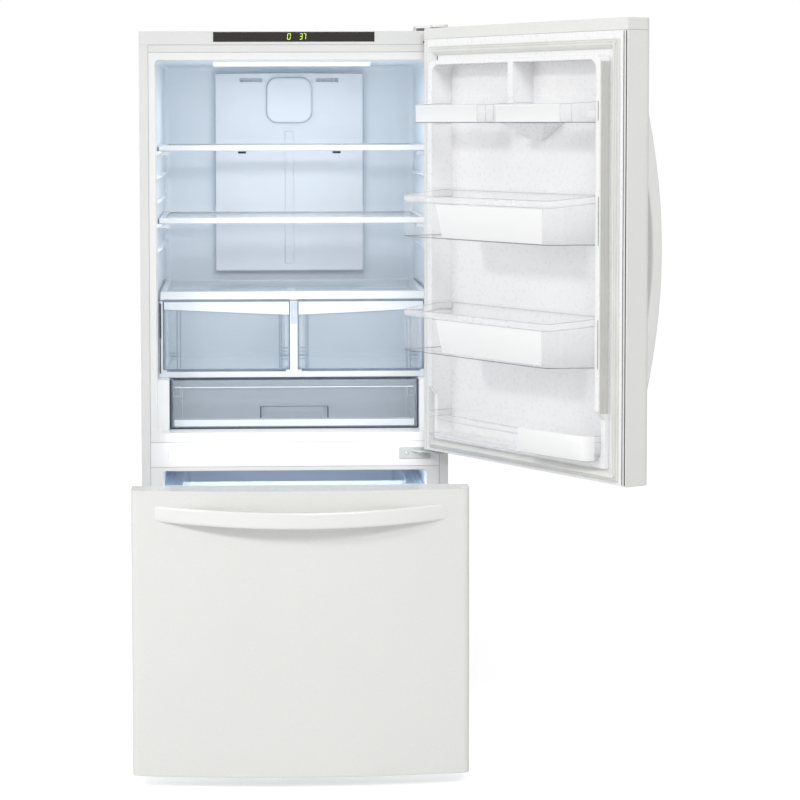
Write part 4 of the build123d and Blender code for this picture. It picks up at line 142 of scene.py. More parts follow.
floor_mesh.from_pydata(
    [(-reach, -reach, 0), (reach, -reach, 0), (reach, reach, 0), (-reach, reach, 0)], [], [(0, 1, 2, 3)],
)
floor_mesh.materials.append(board)
studio_floor = bpy.data.objects.new("studio_floor", floor_mesh)
studio.collection.objects.link(studio_floor)


# ---------------------------------------------------------------- painted cabinet
# Folded sheet steel under white enamel: two side panels and the top panel. The enamel has a faint
# orange peel and a soft gloss, and the folded edges are a little rounded.
def shop_finish(
    name, colour, rough, drift=0.015, drift_size=180.0, grain=0.0, grain_size=2.0, stretch=(1, 1, 1),
    metal=0.0, coat=0.0, ior=1.5, edge=0.0, rough_drift=0.05, deep=None,
):
    """A Principled finish whose colour drifts slowly over the piece between two near tones, with a fine grain in
    its height and its roughness, and edges that catch the light as if rounded by the given radius. With deep
    = (second colour, from, to) the colour changes with the depth behind the cabinet's front. Lengths are in
    millimetres; the pattern is on the piece's own coordinates."""
    finish = bpy.data.materials.new(name)
    finish.use_nodes = True
    nodes, links = finish.node_tree.nodes, finish.node_tree.links
    shader = nodes["Principled BSDF"]
    shader.inputs["Metallic"].default_value = metal
    shader.inputs["Coat Weight"].default_value = coat
    shader.inputs["Coat Roughness"].default_value = 0.08
    shader.inputs["IOR"].default_value = ior
    place = nodes.new("ShaderNodeTexCoord")
    lay = nodes.new("ShaderNodeMapping")
    lay.inputs["Scale"].default_value = stretch
    links.new(place.outputs["Object"], lay.inputs["Vector"])
    slow = nodes.new("ShaderNodeTexNoise")
    slow.inputs["Scale"].default_value = 1000.0 / drift_size
    slow.inputs["Detail"].default_value = 3.0
    links.new(lay.outputs[0], slow.inputs["Vector"])
    tones = nodes.new("ShaderNodeValToRGB")
    low = np.array(colour) * (1.0 - drift)
    high = np.array(colour) * (1.0 + drift)
    tones.color_ramp.elements[0].position, tones.color_ramp.elements[1].position = 0.35, 0.65
    tones.color_ramp.elements[0].color = (*np.clip(low, 0, 1), 1.0)
    tones.color_ramp.elements[1].color = (*np.clip(high, 0, 1), 1.0)
    links.new(slow.outputs["Fac"], tones.inputs["Fac"])
    # The depth tone is painted shade: the colour turns towards a cooler, shaded tone deeper inside a compartment.
    if deep:
        shaded_colour, start, end = deep
        split = nodes.new("ShaderNodeSeparateXYZ")
        links.new(place.outputs["Object"], split.inputs[0])
        depth = nodes.new("ShaderNodeMapRange")
        depth.inputs["From Min"].default_value = start * 0.001
        depth.inputs["From Max"].default_value = end * 0.001
        links.new(split.outputs["Y"], depth.inputs["Value"])
        shift = nodes.new("ShaderNodeVectorMath")
        shift.operation = "MULTIPLY"
        shift.inputs[1].default_value = tuple(np.array(shaded_colour) / np.array(colour))
        links.new(tones.outputs["Color"], shift.inputs[0])
        blend = nodes.new("ShaderNodeMix")
        blend.data_type = "VECTOR"
        links.new(depth.outputs[0], blend.inputs["Factor"])
        links.new(tones.outputs["Color"], blend.inputs[4])
        links.new(shift.outputs[0], blend.inputs[5])
        links.new(blend.outputs[1], shader.inputs["Base Color"])
    else:
        links.new(tones.outputs["Color"], shader.inputs["Base Color"])
    fine = nodes.new("ShaderNodeTexNoise")
    fine.inputs["Scale"].default_value = 1000.0 / grain_size
    fine.inputs["Detail"].default_value = 2.0
    links.new(lay.outputs[0], fine.inputs["Vector"])
    spread = nodes.new("ShaderNodeMapRange")
    spread.inputs["To Min"].default_value = max(0.02, rough - rough_drift)
    spread.inputs["To Max"].default_value = min(1.0, rough + rough_drift)
    links.new(fine.outputs["Fac"], spread.inputs["Value"])
    links.new(spread.outputs[0], shader.inputs["Roughness"])
    if grain > 0:
        relief = nodes.new("ShaderNodeBump")
        relief.inputs["Strength"].default_value = 1.0
        relief.inputs["Distance"].default_value = grain * 0.001
        links.new(fine.outputs["Fac"], relief.inputs["Height"])
        links.new(relief.outputs[0], shader.inputs["Normal"])
        if edge > 0:
            rounded = nodes.new("ShaderNodeBevel")
            rounded.samples = 4
            rounded.inputs["Radius"].default_value = edge * 0.001
            links.new(rounded.outputs[0], relief.inputs["Normal"])
    return finish


def dress(finish, *nodes):
    """Give CAD nodes their finish in their own material slots."""
    for node in nodes:
        piece = frame["nodes"][node]
        if not piece.material_slots:
            piece.data.materials.append(finish)
        for holder in piece.material_slots:
            holder.material = finish


case_enamel = shop_finish("case_enamel", (0.73, 0.73, 0.72), 0.30, grain=0.005, grain_size=3.0, coat=0.25, edge=1.2)
dress(case_enamel, "side_panel_left", "side_panel_right", "top_panel")

zinc = shop_finish(
    "zinc_sheet", (0.50, 0.52, 0.54), 0.42, drift=0.10, drift_size=14.0, grain=0.006, grain_size=5.0,
    metal=0.85, rough_drift=0.12, edge=0.8,
)
dress(zinc, "back_panel", "base_deck")


# Seam lines: where the liner's flange, the control strip and the side panels' returns meet, a thin grey bead paints
# the shade in the narrow gaps between the parts.
X, Y, Z = np.eye(3)


def round_section(wide, high, radius, steps=4):
    """A rounded rectangle as a closed loop: each corner is a quarter turn t of its centre plus
    radius (cos t, sin t), and the four centres stand one radius inside the corners."""
    radius = min(radius, 0.499 * wide, 0.499 * high)
    corner = np.repeat(np.arange(4), steps)
    angle = np.tile(np.linspace(0, pi / 2, steps), 4) + corner * pi / 2
    across = (wide / 2 - radius) * np.array([1, -1, -1, 1])[corner] + radius * np.cos(angle)
    along = (high / 2 - radius) * np.array([1, 1, -1, -1])[corner] + radius * np.sin(angle)
    return np.stack([across, along], 1)


def lofted(rows, closed=False):
    """Faces over a grid of points: row i is one loop of the skin, and its points j and j + 1 are joined to the same
    two points of row i + 1. An open skin ends in two flat faces. Returns points and faces."""
    count, loop = rows.shape[:2]
    i = np.arange(count if closed else count - 1)[:, None]
    j = np.arange(loop)[None, :]
    after, turn = (i + 1) % count, (j + 1) % loop
    quads = np.stack(np.broadcast_arrays(i * loop + j, i * loop + turn, after * loop + turn, after * loop + j), -1)
    faces = quads.reshape(-1, 4).tolist()
    if not closed:
        faces += [list(range(loop)), list(range((count - 1) * loop, count * loop))]
    return rows.reshape(-1, 3), faces


def carried(spine, side, rise, section, closed=False):
    """A section carried along a path: point (i, j) = spine(i) + a(j) side(i) + b(j) rise(i), where (a, b) is the
    section's loop."""
    spine = np.asarray(spine, float)
    side = np.broadcast_to(np.asarray(side, float), spine.shape)
    rise = np.broadcast_to(np.asarray(rise, float), spine.shape)
    across, along = section[None, :, 0, None], section[None, :, 1, None]
    return lofted(spine[:, None, :] + across * side[:, None, :] + along * rise[:, None, :], closed)


def bar(start, end, section, side, rise):
    """A straight bar between two points: the section carried along two points of a line."""
    return carried(np.array([start, end], float), side, rise, section)


def upright(x, y, low, high, section):
    """A straight bar that stands at one place from a low to a high end, its section's first measure across."""
    return bar((x, y, low), (x, y, high), section, X, Y)


def level(x0, x1, y, z, section):
    """A straight bar that runs across the cabinet, its section's first measure towards the back."""
    return bar((x0, y, z), (x1, y, z), section, Y, Z)


def edged_plate(x, low, high, near, far):
    """An upright plate between the planes y = near and y = far: point (i, j) = (x(i), y(j), low(i) + s(j)
    (high(i) - low(i)) + e(j)), where (y, s, e) goes once round a rectangle with cut corners."""
    x, low, high = (np.asarray(v, float) for v in np.broadcast_arrays(x, low, high))
    cut = 0.3 * (far - near)
    y = np.array([near + cut, far - cut, far, far, far - cut, near + cut, near, near])
    s = np.array([0, 0, 0, 1, 1, 1, 1, 0])
    e = np.array([0, 0, cut, -cut, 0, 0, -cut, cut])
    z = low[:, None] + s * (high - low)[:, None] + e
    return lofted(np.stack(np.broadcast_arrays(x[:, None], y, z), -1))


def together(parts):
    """Several closed shells as one list of points and faces, each shell's numbers counted on from the last."""
    points, faces, start = [], [], 0
    for shell, shell_faces in parts:
        points.append(shell)
        faces += [[start + k for k in face] for face in shell_faces]
        start += len(shell)
    return np.concatenate(points), faces


def new_piece(name, shape, finish, body, smooth=35.0):
    """One mesh piece from points in millimetres, its faces turned outwards, riding on a body."""
    points, faces = shape
    mesh = bpy.data.meshes.new(name)
    mesh.from_pydata((np.asarray(points) * 0.001).tolist(), [], faces)
    shell = bmesh.new()
    shell.from_mesh(mesh)
    bmesh.ops.recalc_face_normals(shell, faces=shell.faces)
    shell.to_mesh(mesh)
    shell.free()
    mesh.polygons.foreach_set("use_smooth", np.ones(len(mesh.polygons), bool))
    mesh.set_sharp_from_angle(angle=radians(smooth))
    mesh.materials.append(finish)
    piece = bpy.data.objects.new(name, mesh)
    studio.collection.objects.link(piece)
    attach(piece, body)
    return piece


# Grey bead: painted shade in the narrow gaps at the seams.
seam_shade_finish = shop_finish(
    "seam_shade_paint", (0.40, 0.41, 0.42), 0.6, drift=0.08, drift_size=40.0, grain=0.01, grain_size=1.0,
)
SEAM = round_section(1.0, 0.8, 0.35, 3)
case_half, strip_bottom, header_bottom, mullion_top, mullion_bottom = 355.85, 1677.85, 1659.85, 703.15, 641.85
seams = [
    upright(-case_half, -0.1, 48.0, strip_bottom, SEAM),
    upright(case_half, -0.1, 48.0, strip_bottom, SEAM),
]
for height in (strip_bottom, header_bottom, mullion_top, mullion_bottom):
    seams.append(bar((-case_half, -0.1, height), (case_half, -0.1, height), SEAM, Z, Y))
new_piece("case_seam_shade", together(seams), seam_shade_finish, "cabinet")

# ---------------------------------------------------------------- insulation
# Rigid foam poured between the case and the liners. It shows nowhere; its skin is a pale cream with fine cells.
foam = shop_finish("foam_skin", (0.72, 0.65, 0.46), 0.85, drift=0.08, drift_size=30.0, grain=0.12, grain_size=1.4)
dress(foam, "insulation_foam", "door_foam", "drawer_foam")

# ---------------------------------------------------------------- liners
# Vacuum-formed polystyrene, cool white, a little glossy, with the soft waviness that a drawn sheet has.
WHITE_FLANGE = (0.79, 0.79, 0.785)
# Its colour turns pale blue from 30 to 180 mm behind the front: painted cool shade deep in the compartment.
liner_plastic = shop_finish(
    "liner_plastic", WHITE_FLANGE, 0.30, drift=0.010, drift_size=260.0, grain=0.003, grain_size=9.0,
    rough_drift=0.03, edge=2.5, deep=((0.80, 0.845, 0.89), 30.0, 180.0),
)
dress(liner_plastic, "fresh_food_liner")
duct_plastic = shop_finish(
    "duct_plastic", (0.84, 0.86, 0.90), 0.32, drift=0.008, drift_size=200.0, grain=0.003, grain_size=7.0, edge=1.5,
    rough_drift=0.03,
)
dress(duct_plastic, "rear_duct_cover", "diffuser_cover")
# The freezer liner turns darker blue from 20 to 90 mm behind the front: painted shade deep in the compartment.
frost_plastic = shop_finish(
    "frost_liner_plastic", WHITE_FLANGE, 0.34, drift=0.015, drift_size=200.0, grain=0.004, grain_size=9.0, edge=2.5,
    deep=((0.70, 0.77, 0.86), 20.0, 90.0),
)
dress(frost_plastic, "freezer_liner")
cover_plastic = shop_finish(
    "frost_cover_plastic", (0.70, 0.77, 0.86), 0.36, drift=0.02, drift_size=160.0, grain=0.012, grain_size=6.0,
    edge=1.5,
)
dress(cover_plastic, "evaporator_cover")
door_plastic = shop_finish(
    "door_liner_plastic", (0.885, 0.885, 0.89), 0.28, drift=0.006, drift_size=240.0, grain=0.003, grain_size=9.0,
    rough_drift=0.03, edge=2.5,
)
dress(door_plastic, "door_liner", "drawer_liner")

# ---------------------------------------------------------------- front rail, control strip
# Moulded ABS in white: the rail between the compartments with its blank recess, and the strip over the
# opening that holds the smoked display window.
white_moulding = shop_finish(
    "white_moulding", (0.83, 0.835, 0.84), 0.32, drift=0.01, grain=0.003, grain_size=3.0, rough_drift=0.03,
    edge=1.5,
)
dress(white_moulding, "center_mullion", "top_hinge_cover")
strip_moulding = shop_finish(
    "strip_moulding", (0.72, 0.72, 0.72), 0.34, drift=0.01, grain=0.003, grain_size=3.0, rough_drift=0.03, edge=1.5,
)
dress(strip_moulding, "control_panel")
smoked = shop_finish(
    "smoked_window", (0.012, 0.010, 0.008), 0.09, drift=0.25, drift_size=60.0, grain=0.002, grain_size=9.0,
    rough_drift=0.03, coat=0.6, edge=0.6,
)
dress(smoked, "display_window")
switch_plastic = shop_finish(
    "switch_plastic", (0.035, 0.035, 0.038), 0.5, drift=0.1, grain=0.02, grain_size=0.8, edge=0.8,
)
dress(switch_plastic, "door_switch_plunger")

# The lit digits behind the window: segments of a numeric display, leaning a little to the right.
digit_glow = shop_finish("digit_glow", (0.55, 0.80, 0.05), 0.4, drift=0.08, drift_size=3.0)
digit_glow.node_tree.nodes["Principled BSDF"].inputs["Emission Color"].default_value = (0.62, 0.90, 0.06, 1.0)
digit_glow.node_tree.nodes["Principled BSDF"].inputs["Emission Strength"].default_value = 0.75
DIGIT_FACE = 0.22
DIGIT_LOW, DIGIT_HIGH, DIGIT_STROKE, DIGIT_LEAN = 1690.2, 1705.8, 1.9, 0.10
SEGMENTS = {
    "a": ((0, 2), (1, 2)), "b": ((1, 2), (1, 1)), "c": ((1, 1), (1, 0)), "d": ((0, 0), (1, 0)),
    "e": ((0, 1), (0, 0)), "f": ((0, 2), (0, 1)), "g": ((0, 1), (1, 1)),
}
LIT = {"0": "abcdef", "3": "abcdg", "7": "abc"}


def digit(figure, left, right):
    """The lit segments of one figure: a segment joins two of the six corners of a two-storey box, whose upper
    corners are moved sideways by the lean times their height."""
    half = DIGIT_STROKE / 2
    strokes = []
    for name in LIT[figure]:
        ends = np.array(SEGMENTS[name], float)
        x = left + half + ends[:, 0] * (right - left - DIGIT_STROKE)
        z = DIGIT_LOW + half + ends[:, 1] * (DIGIT_HIGH - DIGIT_LOW - DIGIT_STROKE) / 2
        x = x + (z - DIGIT_LOW) * DIGIT_LEAN
        path = np.stack([x, np.full(2, DIGIT_FACE), z], 1)
        along = (path[1] - path[0]) / np.linalg.norm(path[1] - path[0])
        path = path + np.outer([1, -1], along) * half * 0.45
        strokes.append(carried(path, np.cross(along, Y), Y, round_section(DIGIT_STROKE * 0.72, 0.12, 0.3, 2)))
    return strokes


figures = digit("0", -17.2, -8.4) + digit("3", 13.0, 20.6) + digit("7", 21.8, 29.2)
new_piece("display_digits", together(figures), digit_glow, "cabinet")

# ---------------------------------------------------------------- hinges
# Grey coated steel. The middle hinge is screwed to the front rail by two screws, and its pin turns in a white
# bushing under the door.
hinge_coat = shop_finish(
    "hinge_coat", (0.50, 0.52, 0.52), 0.38, drift=0.05, drift_size=25.0, grain=0.02, grain_size=0.9, metal=0.3,
    edge=0.8,
)
dress(hinge_coat, "top_hinge", "middle_hinge")


def turned(profile, centre, axis, across, steps):
    """A profile turned about an axis: point (i, j) = centre + h(j) axis + r(j) (cos t(i) across + sin t(i) axis x
    across). The first and last radius are nothing, so that the shell closes at two poles."""
    profile, centre = np.asarray(profile, float), np.asarray(centre, float)
    inner = profile[1:-1]
    angle = np.linspace(0, 2 * pi, steps, endpoint=False)
    spoke = np.cos(angle)[:, None] * across + np.sin(angle)[:, None] * np.cross(axis, across)
    rings = centre + inner[None, :, 1, None] * axis + inner[None, :, 0, None] * spoke[:, None, :]
    rows = len(inner)
    points = np.concatenate([
        rings.reshape(-1, 3), [centre + profile[0, 1] * axis], [centre + profile[-1, 1] * axis],
    ])
    i, j = np.arange(steps)[:, None], np.arange(rows - 1)[None, :]
    here, after = i * rows + j, (i + 1) % steps * rows + j
    quads = np.stack(np.broadcast_arrays(here, after, after + 1, here + 1), -1)
    faces = quads.reshape(-1, 4).tolist()
    first, last = steps * rows, steps * rows + 1
    k = np.arange(steps)
    faces += np.stack([np.full(steps, first), ((k + 1) % steps) * rows, k * rows], 1).tolist()
    faces += np.stack([np.full(steps, last), k * rows + rows - 1, ((k + 1) % steps) * rows + rows - 1], 1).tolist()
    return points, faces


screw_steel = shop_finish(
    "screw_steel", (0.60, 0.60, 0.59), 0.30, drift=0.06, drift_size=4.0, grain=0.01, grain_size=0.4, metal=1.0,
)
SCREW_RADIUS = 4.6


def pan_screw(centre, out, across):
    """A pan-head screw: a low dome with a round drive recess, turned about its own axis."""
    radius = SCREW_RADIUS
    profile = [(0, 0.4), (1.3, 0.4), (1.6, 1.5), (radius * 0.7, 1.9), (radius, 0.9), (radius, -0.4), (0, -0.4)]
    return turned(profile, centre, out, across, 16)


plate_screws = [pan_screw((x, -3.0, 673.5), -Y, X) for x in (276.0, 308.0)]
new_piece("middle_hinge_screws", together(plate_screws), screw_steel, "cabinet")
foot_screws = [pan_screw((x, 98.0, 1714.0), Z, X) for x in (312.0, 330.0, 352.0)]
new_piece("top_hinge_screws", together(foot_screws), screw_steel, "cabinet")
bushing = turned(
    [(0, -1.6), (11.5, -1.6), (13.0, -0.4), (13.0, 0.3), (0, 0.3)], (353.0, -40.0, 684.5), Z, X, 28,
)
new_piece("middle_hinge_bushing", bushing, white_moulding, "cabinet")

# ---------------------------------------------------------------- door and drawer fronts
# The skins are rolled steel with a bow, under the same white enamel as the case. The edge that faces the
# camera is in shade.
front_enamel = shop_finish(
    "front_enamel", (0.785, 0.785, 0.765), 0.26, drift=0.008, drift_size=320.0, grain=0.006, grain_size=3.2,
    coat=0.35, edge=2.0,
)
dress(front_enamel, "door_skin", "drawer_skin", "door_end_caps")

joints = {joint["name"]: joint for joint in frame["joints"]}
door_joint = joints["refrigerator_door_hinge"]
DOOR_ANGLE = radians(-door_joint["range_deg"][0])
DOOR_PIN = np.array(door_joint["pos_m"]) * 1000.0
DRAWER_OUT = -joints["freezer_drawer_slide"]["range_m"][0] * 1000.0


def opened(shape):
    """Turn points that are given for the shut door about its hinge pins to where the door stands."""
    points, faces = shape
    from_pin = points - DOOR_PIN
    swung = from_pin.copy()
    swung[:, 0] = from_pin[:, 0] * cos(DOOR_ANGLE) - from_pin[:, 1] * sin(DOOR_ANGLE)
    swung[:, 1] = from_pin[:, 0] * sin(DOOR_ANGLE) + from_pin[:, 1] * cos(DOOR_ANGLE)
    return swung + DOOR_PIN, faces


def drawn(shape):
    """Move points that are given for the shut drawer out of the cabinet to where the drawer stands."""
    points, faces = shape
    return points - np.array([0.0, DRAWER_OUT, 0.0]), faces


# ---------------------------------------------------------------- handles
# Glossy moulded bows with rounded edges, screwed on from behind the skins. The door's one stands upright near
# the latch side, the drawer's one lies across the front and dips a little in the middle.
handle_gloss = shop_finish(
    "handle_gloss", (0.83, 0.83, 0.82), 0.20, drift=0.008, grain=0.004, grain_size=3.0, coat=0.5,
)


def bow(length, foot, crest, thick, wide, dip, steps=60):
    """A bow handle along u with its section's broad side of the given width across v. At u = half the length times
    s, the outside stands at n = crest - (crest - foot) s^2 from the plane, the thickness grows from the middle
    to the feet as thick (1 + 1.2 s^2), and v drops by dip (1 - s^2). Returns the grid (u, n, v)."""
    s = np.linspace(-1, 1, steps)
    outside = crest - (crest - foot) * s ** 2
    depth = thick * (1 + 1.2 * s ** 2)
    section = round_section(1.0, 1.0, 0.18, 5)
    n = (outside - depth / 2)[:, None] + depth[:, None] * section[None, :, 0]
    v = -(dip * (1 - s ** 2))[:, None] + wide * section[None, :, 1]
    return np.stack(np.broadcast_arrays((s * length / 2)[:, None], n, v), -1)


door_bow = bow(652.0, 86.0, 131.0, 27.0, 30.0, 0.0)
door_bow = np.stack([-344.0 - door_bow[..., 2], -door_bow[..., 1], 1200.0 + door_bow[..., 0]], -1)
handle = new_piece("door_bow_handle", opened(lofted(door_bow)), handle_gloss, "refrigerator_door", 50.0)
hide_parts("door_handle")
drawer_bow = bow(666.0, 82.0, 153.0, 15.0, 36.0, 9.0)
drawer_bow = np.stack([drawer_bow[..., 0], -drawer_bow[..., 1], 622.0 + drawer_bow[..., 2]], -1)
handle = new_piece("drawer_bow_handle", drawn(lofted(drawer_bow)), handle_gloss, "freezer_drawer", 50.0)
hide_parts("drawer_handle")

# ---------------------------------------------------------------- gaskets
# Soft PVC with a magnet in its bulb. A bellows joins the bulb to a foot that is pressed into the inner
# panel; the folds show as fine parallel lines all round the door.
soft_pvc = shop_finish(
    "soft_pvc", (0.74, 0.74, 0.72), 0.48, drift=0.03, drift_size=90.0, grain=0.01, grain_size=1.0,
)
GASKET_OUT, GASKET_BACK = 352.0, -12.0
DOOR_SEAL_SPAN, DRAWER_SEAL_SPAN = (695.0, 1671.0), (63.0, 660.0)


def seal_loop(half, low, high, section, radius=5.0, steps=4, centre=0.0, plane=0.0):
    """A section carried round an upright rounded rectangle: at a corner's turn t the path's point is the corner's
    centre plus radius (cos t, sin t), and the section's first measure runs outwards along that direction."""
    corner = np.repeat(np.arange(4), steps)
    angle = np.tile(np.linspace(0, pi / 2, steps), 4) + corner * pi / 2
    out_x, out_z = np.cos(angle), np.sin(angle)
    centre_x = centre + (half - radius) * np.array([1, -1, -1, 1])[corner]
    centre_z = np.array([high - radius, high - radius, low + radius, low + radius])[corner]
    zero = np.zeros(len(angle))
    spine = np.stack([centre_x + radius * out_x, zero + plane, centre_z + radius * out_z], 1)
    return carried(spine, np.stack([out_x, zero, out_z], 1), Y, section, closed=True)


# From the outer lip inwards: the steps of the bellows up to the bulb that meets the cabinet, and from there
# the slope down to the inner side of the foot.
SEAL_SECTION = np.array([
    (0.0, 0.2), (0.0, 4.6), (-1.6, 5.0), (-2.4, 3.8), (-4.4, 3.8), (-4.9, 8.6), (-6.6, 9.0), (-7.4, 7.6),
    (-8.6, 7.6), (-9.2, 10.8), (-10.6, 11.4), (-12.4, 11.2), (-18.0, 6.4), (-21.4, 2.2), (-22.0, 1.6),
    (-22.0, 0.2),
])
on_panel = np.array([0.0, GASKET_BACK])
door_seal = seal_loop(GASKET_OUT, *DOOR_SEAL_SPAN, SEAL_SECTION + on_panel)
seal = new_piece("door_seal", opened(door_seal), soft_pvc, "refrigerator_door", 50.0)
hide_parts("door_gasket")
drawer_seal = seal_loop(GASKET_OUT, *DRAWER_SEAL_SPAN, SEAL_SECTION + on_panel)
seal = new_piece("drawer_seal", drawn(drawer_seal), soft_pvc, "freezer_drawer", 50.0)
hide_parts("drawer_gasket")

# Two dark strips at the latch side, between the gasket and the folded edge of the door's skin, paint the shadow in
# the gaps there.
slot_shade = shop_finish(
    "slot_shade", (0.055, 0.055, 0.055), 0.6, drift=0.1, drift_size=30.0, grain=0.01, grain_size=0.8,
)
gap_shadow_strip = [
    upright(x, -11.9, 690.0, 1687.0, round_section(wide, 0.8, 0.3, 3))
    for x, wide in ((-372.4, 3.2), (-363.6, 2.2))
]
new_piece("door_gap_shadow_strips", opened(together(gap_shadow_strip)), slot_shade, "refrigerator_door")
# Three flat folds in a darker copy of the soft plastic lie up the outer wall of the inner panel's ring, at the
# latch side: painted shade where the ring shadows that side.
ring_shade_folds = [
    bar((-320.5, y, 845.0), (-320.5, y, 1622.0), round_section(deep, 0.7, 0.3, 3), Y, X)
    for y, deep in ((13.0, 6.0), (5.6, 7.0), (-3.6, 9.6))
]
# A darker copy of the soft PVC: painted shade on the ring's latch side.
latch_shade_pvc = shop_finish(
    "ring_side_shade_pvc", (0.60, 0.60, 0.575), 0.5, drift=0.03, drift_size=90.0, grain=0.01, grain_size=1.0,
)
new_piece("ring_side_shade_folds", opened(together(ring_shade_folds)), latch_shade_pvc, "refrigerator_door")

# Short open slots in the inner panel's flange, at the hinge side, with dark plates that paint the shade inside
# them.
panel_slots = [
    upright(x, -11.8, low, high, round_section(3.0, 0.8, 0.4, 3))
    for x, low, high in ((323.6, 1637.5, 1648.0), (325.5, 719.0, 723.5))
]
new_piece("door_panel_slots", opened(together(panel_slots)), slot_shade, "refrigerator_door")

# ---------------------------------------------------------------- clear plastics and glass
# Clear polystyrene for bins, crispers, basket and tray. A wall lets most light through when one looks
# straight at it and turns to a soft blue-grey along its edges and where one looks along it.
CLEAR_DRIFT, CLEAR_DRIFT_SIZE = 0.03, 60.0


def clear_finish(name, tint, flat_share, edge_share, rough=0.08, grain=0.004):
    """A see-through Principled finish: its alpha goes from one share to another as the surface turns away, and
    both alpha and roughness vary a little over the piece as moulded plastic does."""
    finish = bpy.data.materials.new(name)
    finish.use_nodes = True
    nodes, links = finish.node_tree.nodes, finish.node_tree.links
    shader = nodes["Principled BSDF"]
    shader.inputs["IOR"].default_value = 1.5
    place = nodes.new("ShaderNodeTexCoord")
    slow = nodes.new("ShaderNodeTexNoise")
    slow.inputs["Scale"].default_value = 1000.0 / CLEAR_DRIFT_SIZE
    slow.inputs["Detail"].default_value = 2.0
    links.new(place.outputs["Object"], slow.inputs["Vector"])
    tones = nodes.new("ShaderNodeValToRGB")
    tones.color_ramp.elements[0].position, tones.color_ramp.elements[1].position = 0.35, 0.65
    tones.color_ramp.elements[0].color = (*(np.array(tint) * 0.99), 1.0)
    tones.color_ramp.elements[1].color = (*np.clip(np.array(tint) * 1.01, 0, 1), 1.0)
    links.new(slow.outputs["Fac"], tones.inputs["Fac"])
    links.new(tones.outputs["Color"], shader.inputs["Base Color"])
    turned_away = nodes.new("ShaderNodeLayerWeight")
    turned_away.inputs["Blend"].default_value = 0.3
    share = nodes.new("ShaderNodeMapRange")
    share.inputs["To Min"].default_value = flat_share
    share.inputs["To Max"].default_value = edge_share
    links.new(turned_away.outputs["Facing"], share.inputs["Value"])
    vary = nodes.new("ShaderNodeMapRange")
    vary.inputs["To Min"].default_value = 1.0 - CLEAR_DRIFT
    vary.inputs["To Max"].default_value = 1.0 + CLEAR_DRIFT
    links.new(slow.outputs["Fac"], vary.inputs["Value"])
    alpha = nodes.new("ShaderNodeMath")
    alpha.operation = "MULTIPLY"
    alpha.use_clamp = True
    links.new(share.outputs[0], alpha.inputs[0])
    links.new(vary.outputs[0], alpha.inputs[1])
    links.new(alpha.outputs[0], shader.inputs["Alpha"])
    spread = nodes.new("ShaderNodeMapRange")
    spread.inputs["To Min"].default_value = max(0.02, rough - 0.03)
    spread.inputs["To Max"].default_value = rough + 0.04
    links.new(slow.outputs["Fac"], spread.inputs["Value"])
    links.new(spread.outputs[0], shader.inputs["Roughness"])
    relief = nodes.new("ShaderNodeBump")
    relief.inputs["Strength"].default_value = 1.0
    relief.inputs["Distance"].default_value = grain * 0.001
    links.new(slow.outputs["Fac"], relief.inputs["Height"])
    links.new(relief.outputs[0], shader.inputs["Normal"])
    return finish


bin_clear = clear_finish("bin_clear", (0.92, 0.93, 0.94), 0.03, 0.14)
dress(
    bin_clear, "door_bin_upper_hinge_side", "door_bin_upper_latch_side", "door_bin_middle", "door_bin_lower",
    "door_bin_bottom",
)
tub_clear = clear_finish("tub_clear", (0.68, 0.77, 0.86), 0.20, 0.50)
dress(tub_clear, "crisper_left", "crisper_right", "pantry_drawer")
frost_clear = clear_finish("frost_clear", (0.62, 0.71, 0.83), 0.16, 0.50)
dress(frost_clear, "freezer_basket", "freezer_tray")
shelf_pane = clear_finish("shelf_pane", (0.80, 0.88, 0.92), 0.05, 0.45, rough=0.04, grain=0.0)
dress(shelf_pane, "shelf_glass", "crisper_cover_glass")

# The bins' edges: a rolled lip along the top that lets less light through, and thin grey lines where the plastic
# ends and where its walls meet the floor. Dark bars on the ring's face beside the bins' latch ends paint their
# shadow.
lip_plastic = clear_finish("lip_plastic", (0.93, 0.93, 0.94), 0.22, 0.45)
edge_plastic = shop_finish(
    "edge_plastic", (0.52, 0.53, 0.54), 0.35, drift=0.10, drift_size=40.0, grain=0.004, grain_size=2.0,
)
edge_and_shadow_dark = shop_finish(
    "dark_edge_and_shadow", (0.22, 0.23, 0.24), 0.35, drift=0.12, drift_size=50.0, grain=0.004, grain_size=2.0,
)
BIN_HALF, BIN_BACK = 299.0, -39.0
FULL_BIN_BACK_TALL, FULL_BIN_FRONT_TALL, HALF_BIN_FLOOR = 108.0, 98.0, 1487.0
RING_FACE = 18.6


def bin_plan(x0, x1, reach, swell, corner, taper=0.0, steps=7):
    """Plan of a bin from its back corner at the latch round the front to its other back corner. The front is
    y = reach + swell (1 - ((x - middle) / half)^2); the latch end leans inwards by the taper from y = 15 on. At a
    corner P between A and B, which stand one radius away on its sides, t goes from 0 to 1 in
    (1 - t)^2 A + 2 t (1 - t) P + t^2 B."""
    middle, half = (x0 + x1) / 2, (x1 - x0) / 2

    def front(x):
        return reach + swell * (1 - ((x - middle) / half) ** 2)

    def rounded(before, peak, after):
        t = np.linspace(0, 1, steps)[:, None]
        peak, sides = np.array(peak), []
        for end in (before, after):
            along = np.array(end) - peak
            sides.append(peak + corner * along / np.linalg.norm(along))
        return (1 - t) ** 2 * sides[0] + 2 * t * (1 - t) * peak + t ** 2 * sides[1]

    start, low, high = x0 + taper, (x0, BIN_BACK), (x0, 15.0)
    first = rounded(high, (start, front(start)), (start + 40, front(start + 40)))
    last = rounded((x1 - 40, front(x1 - 40)), (x1, front(x1)), (x1, BIN_BACK))
    x = np.linspace(first[-1, 0], last[0, 0], 26)[1:-1]
    end = [(x1, 0.0), (x1, BIN_BACK)]
    return np.concatenate([[low, (x0, -12.0), high], first, np.stack([x, front(x)], 1), last, end])


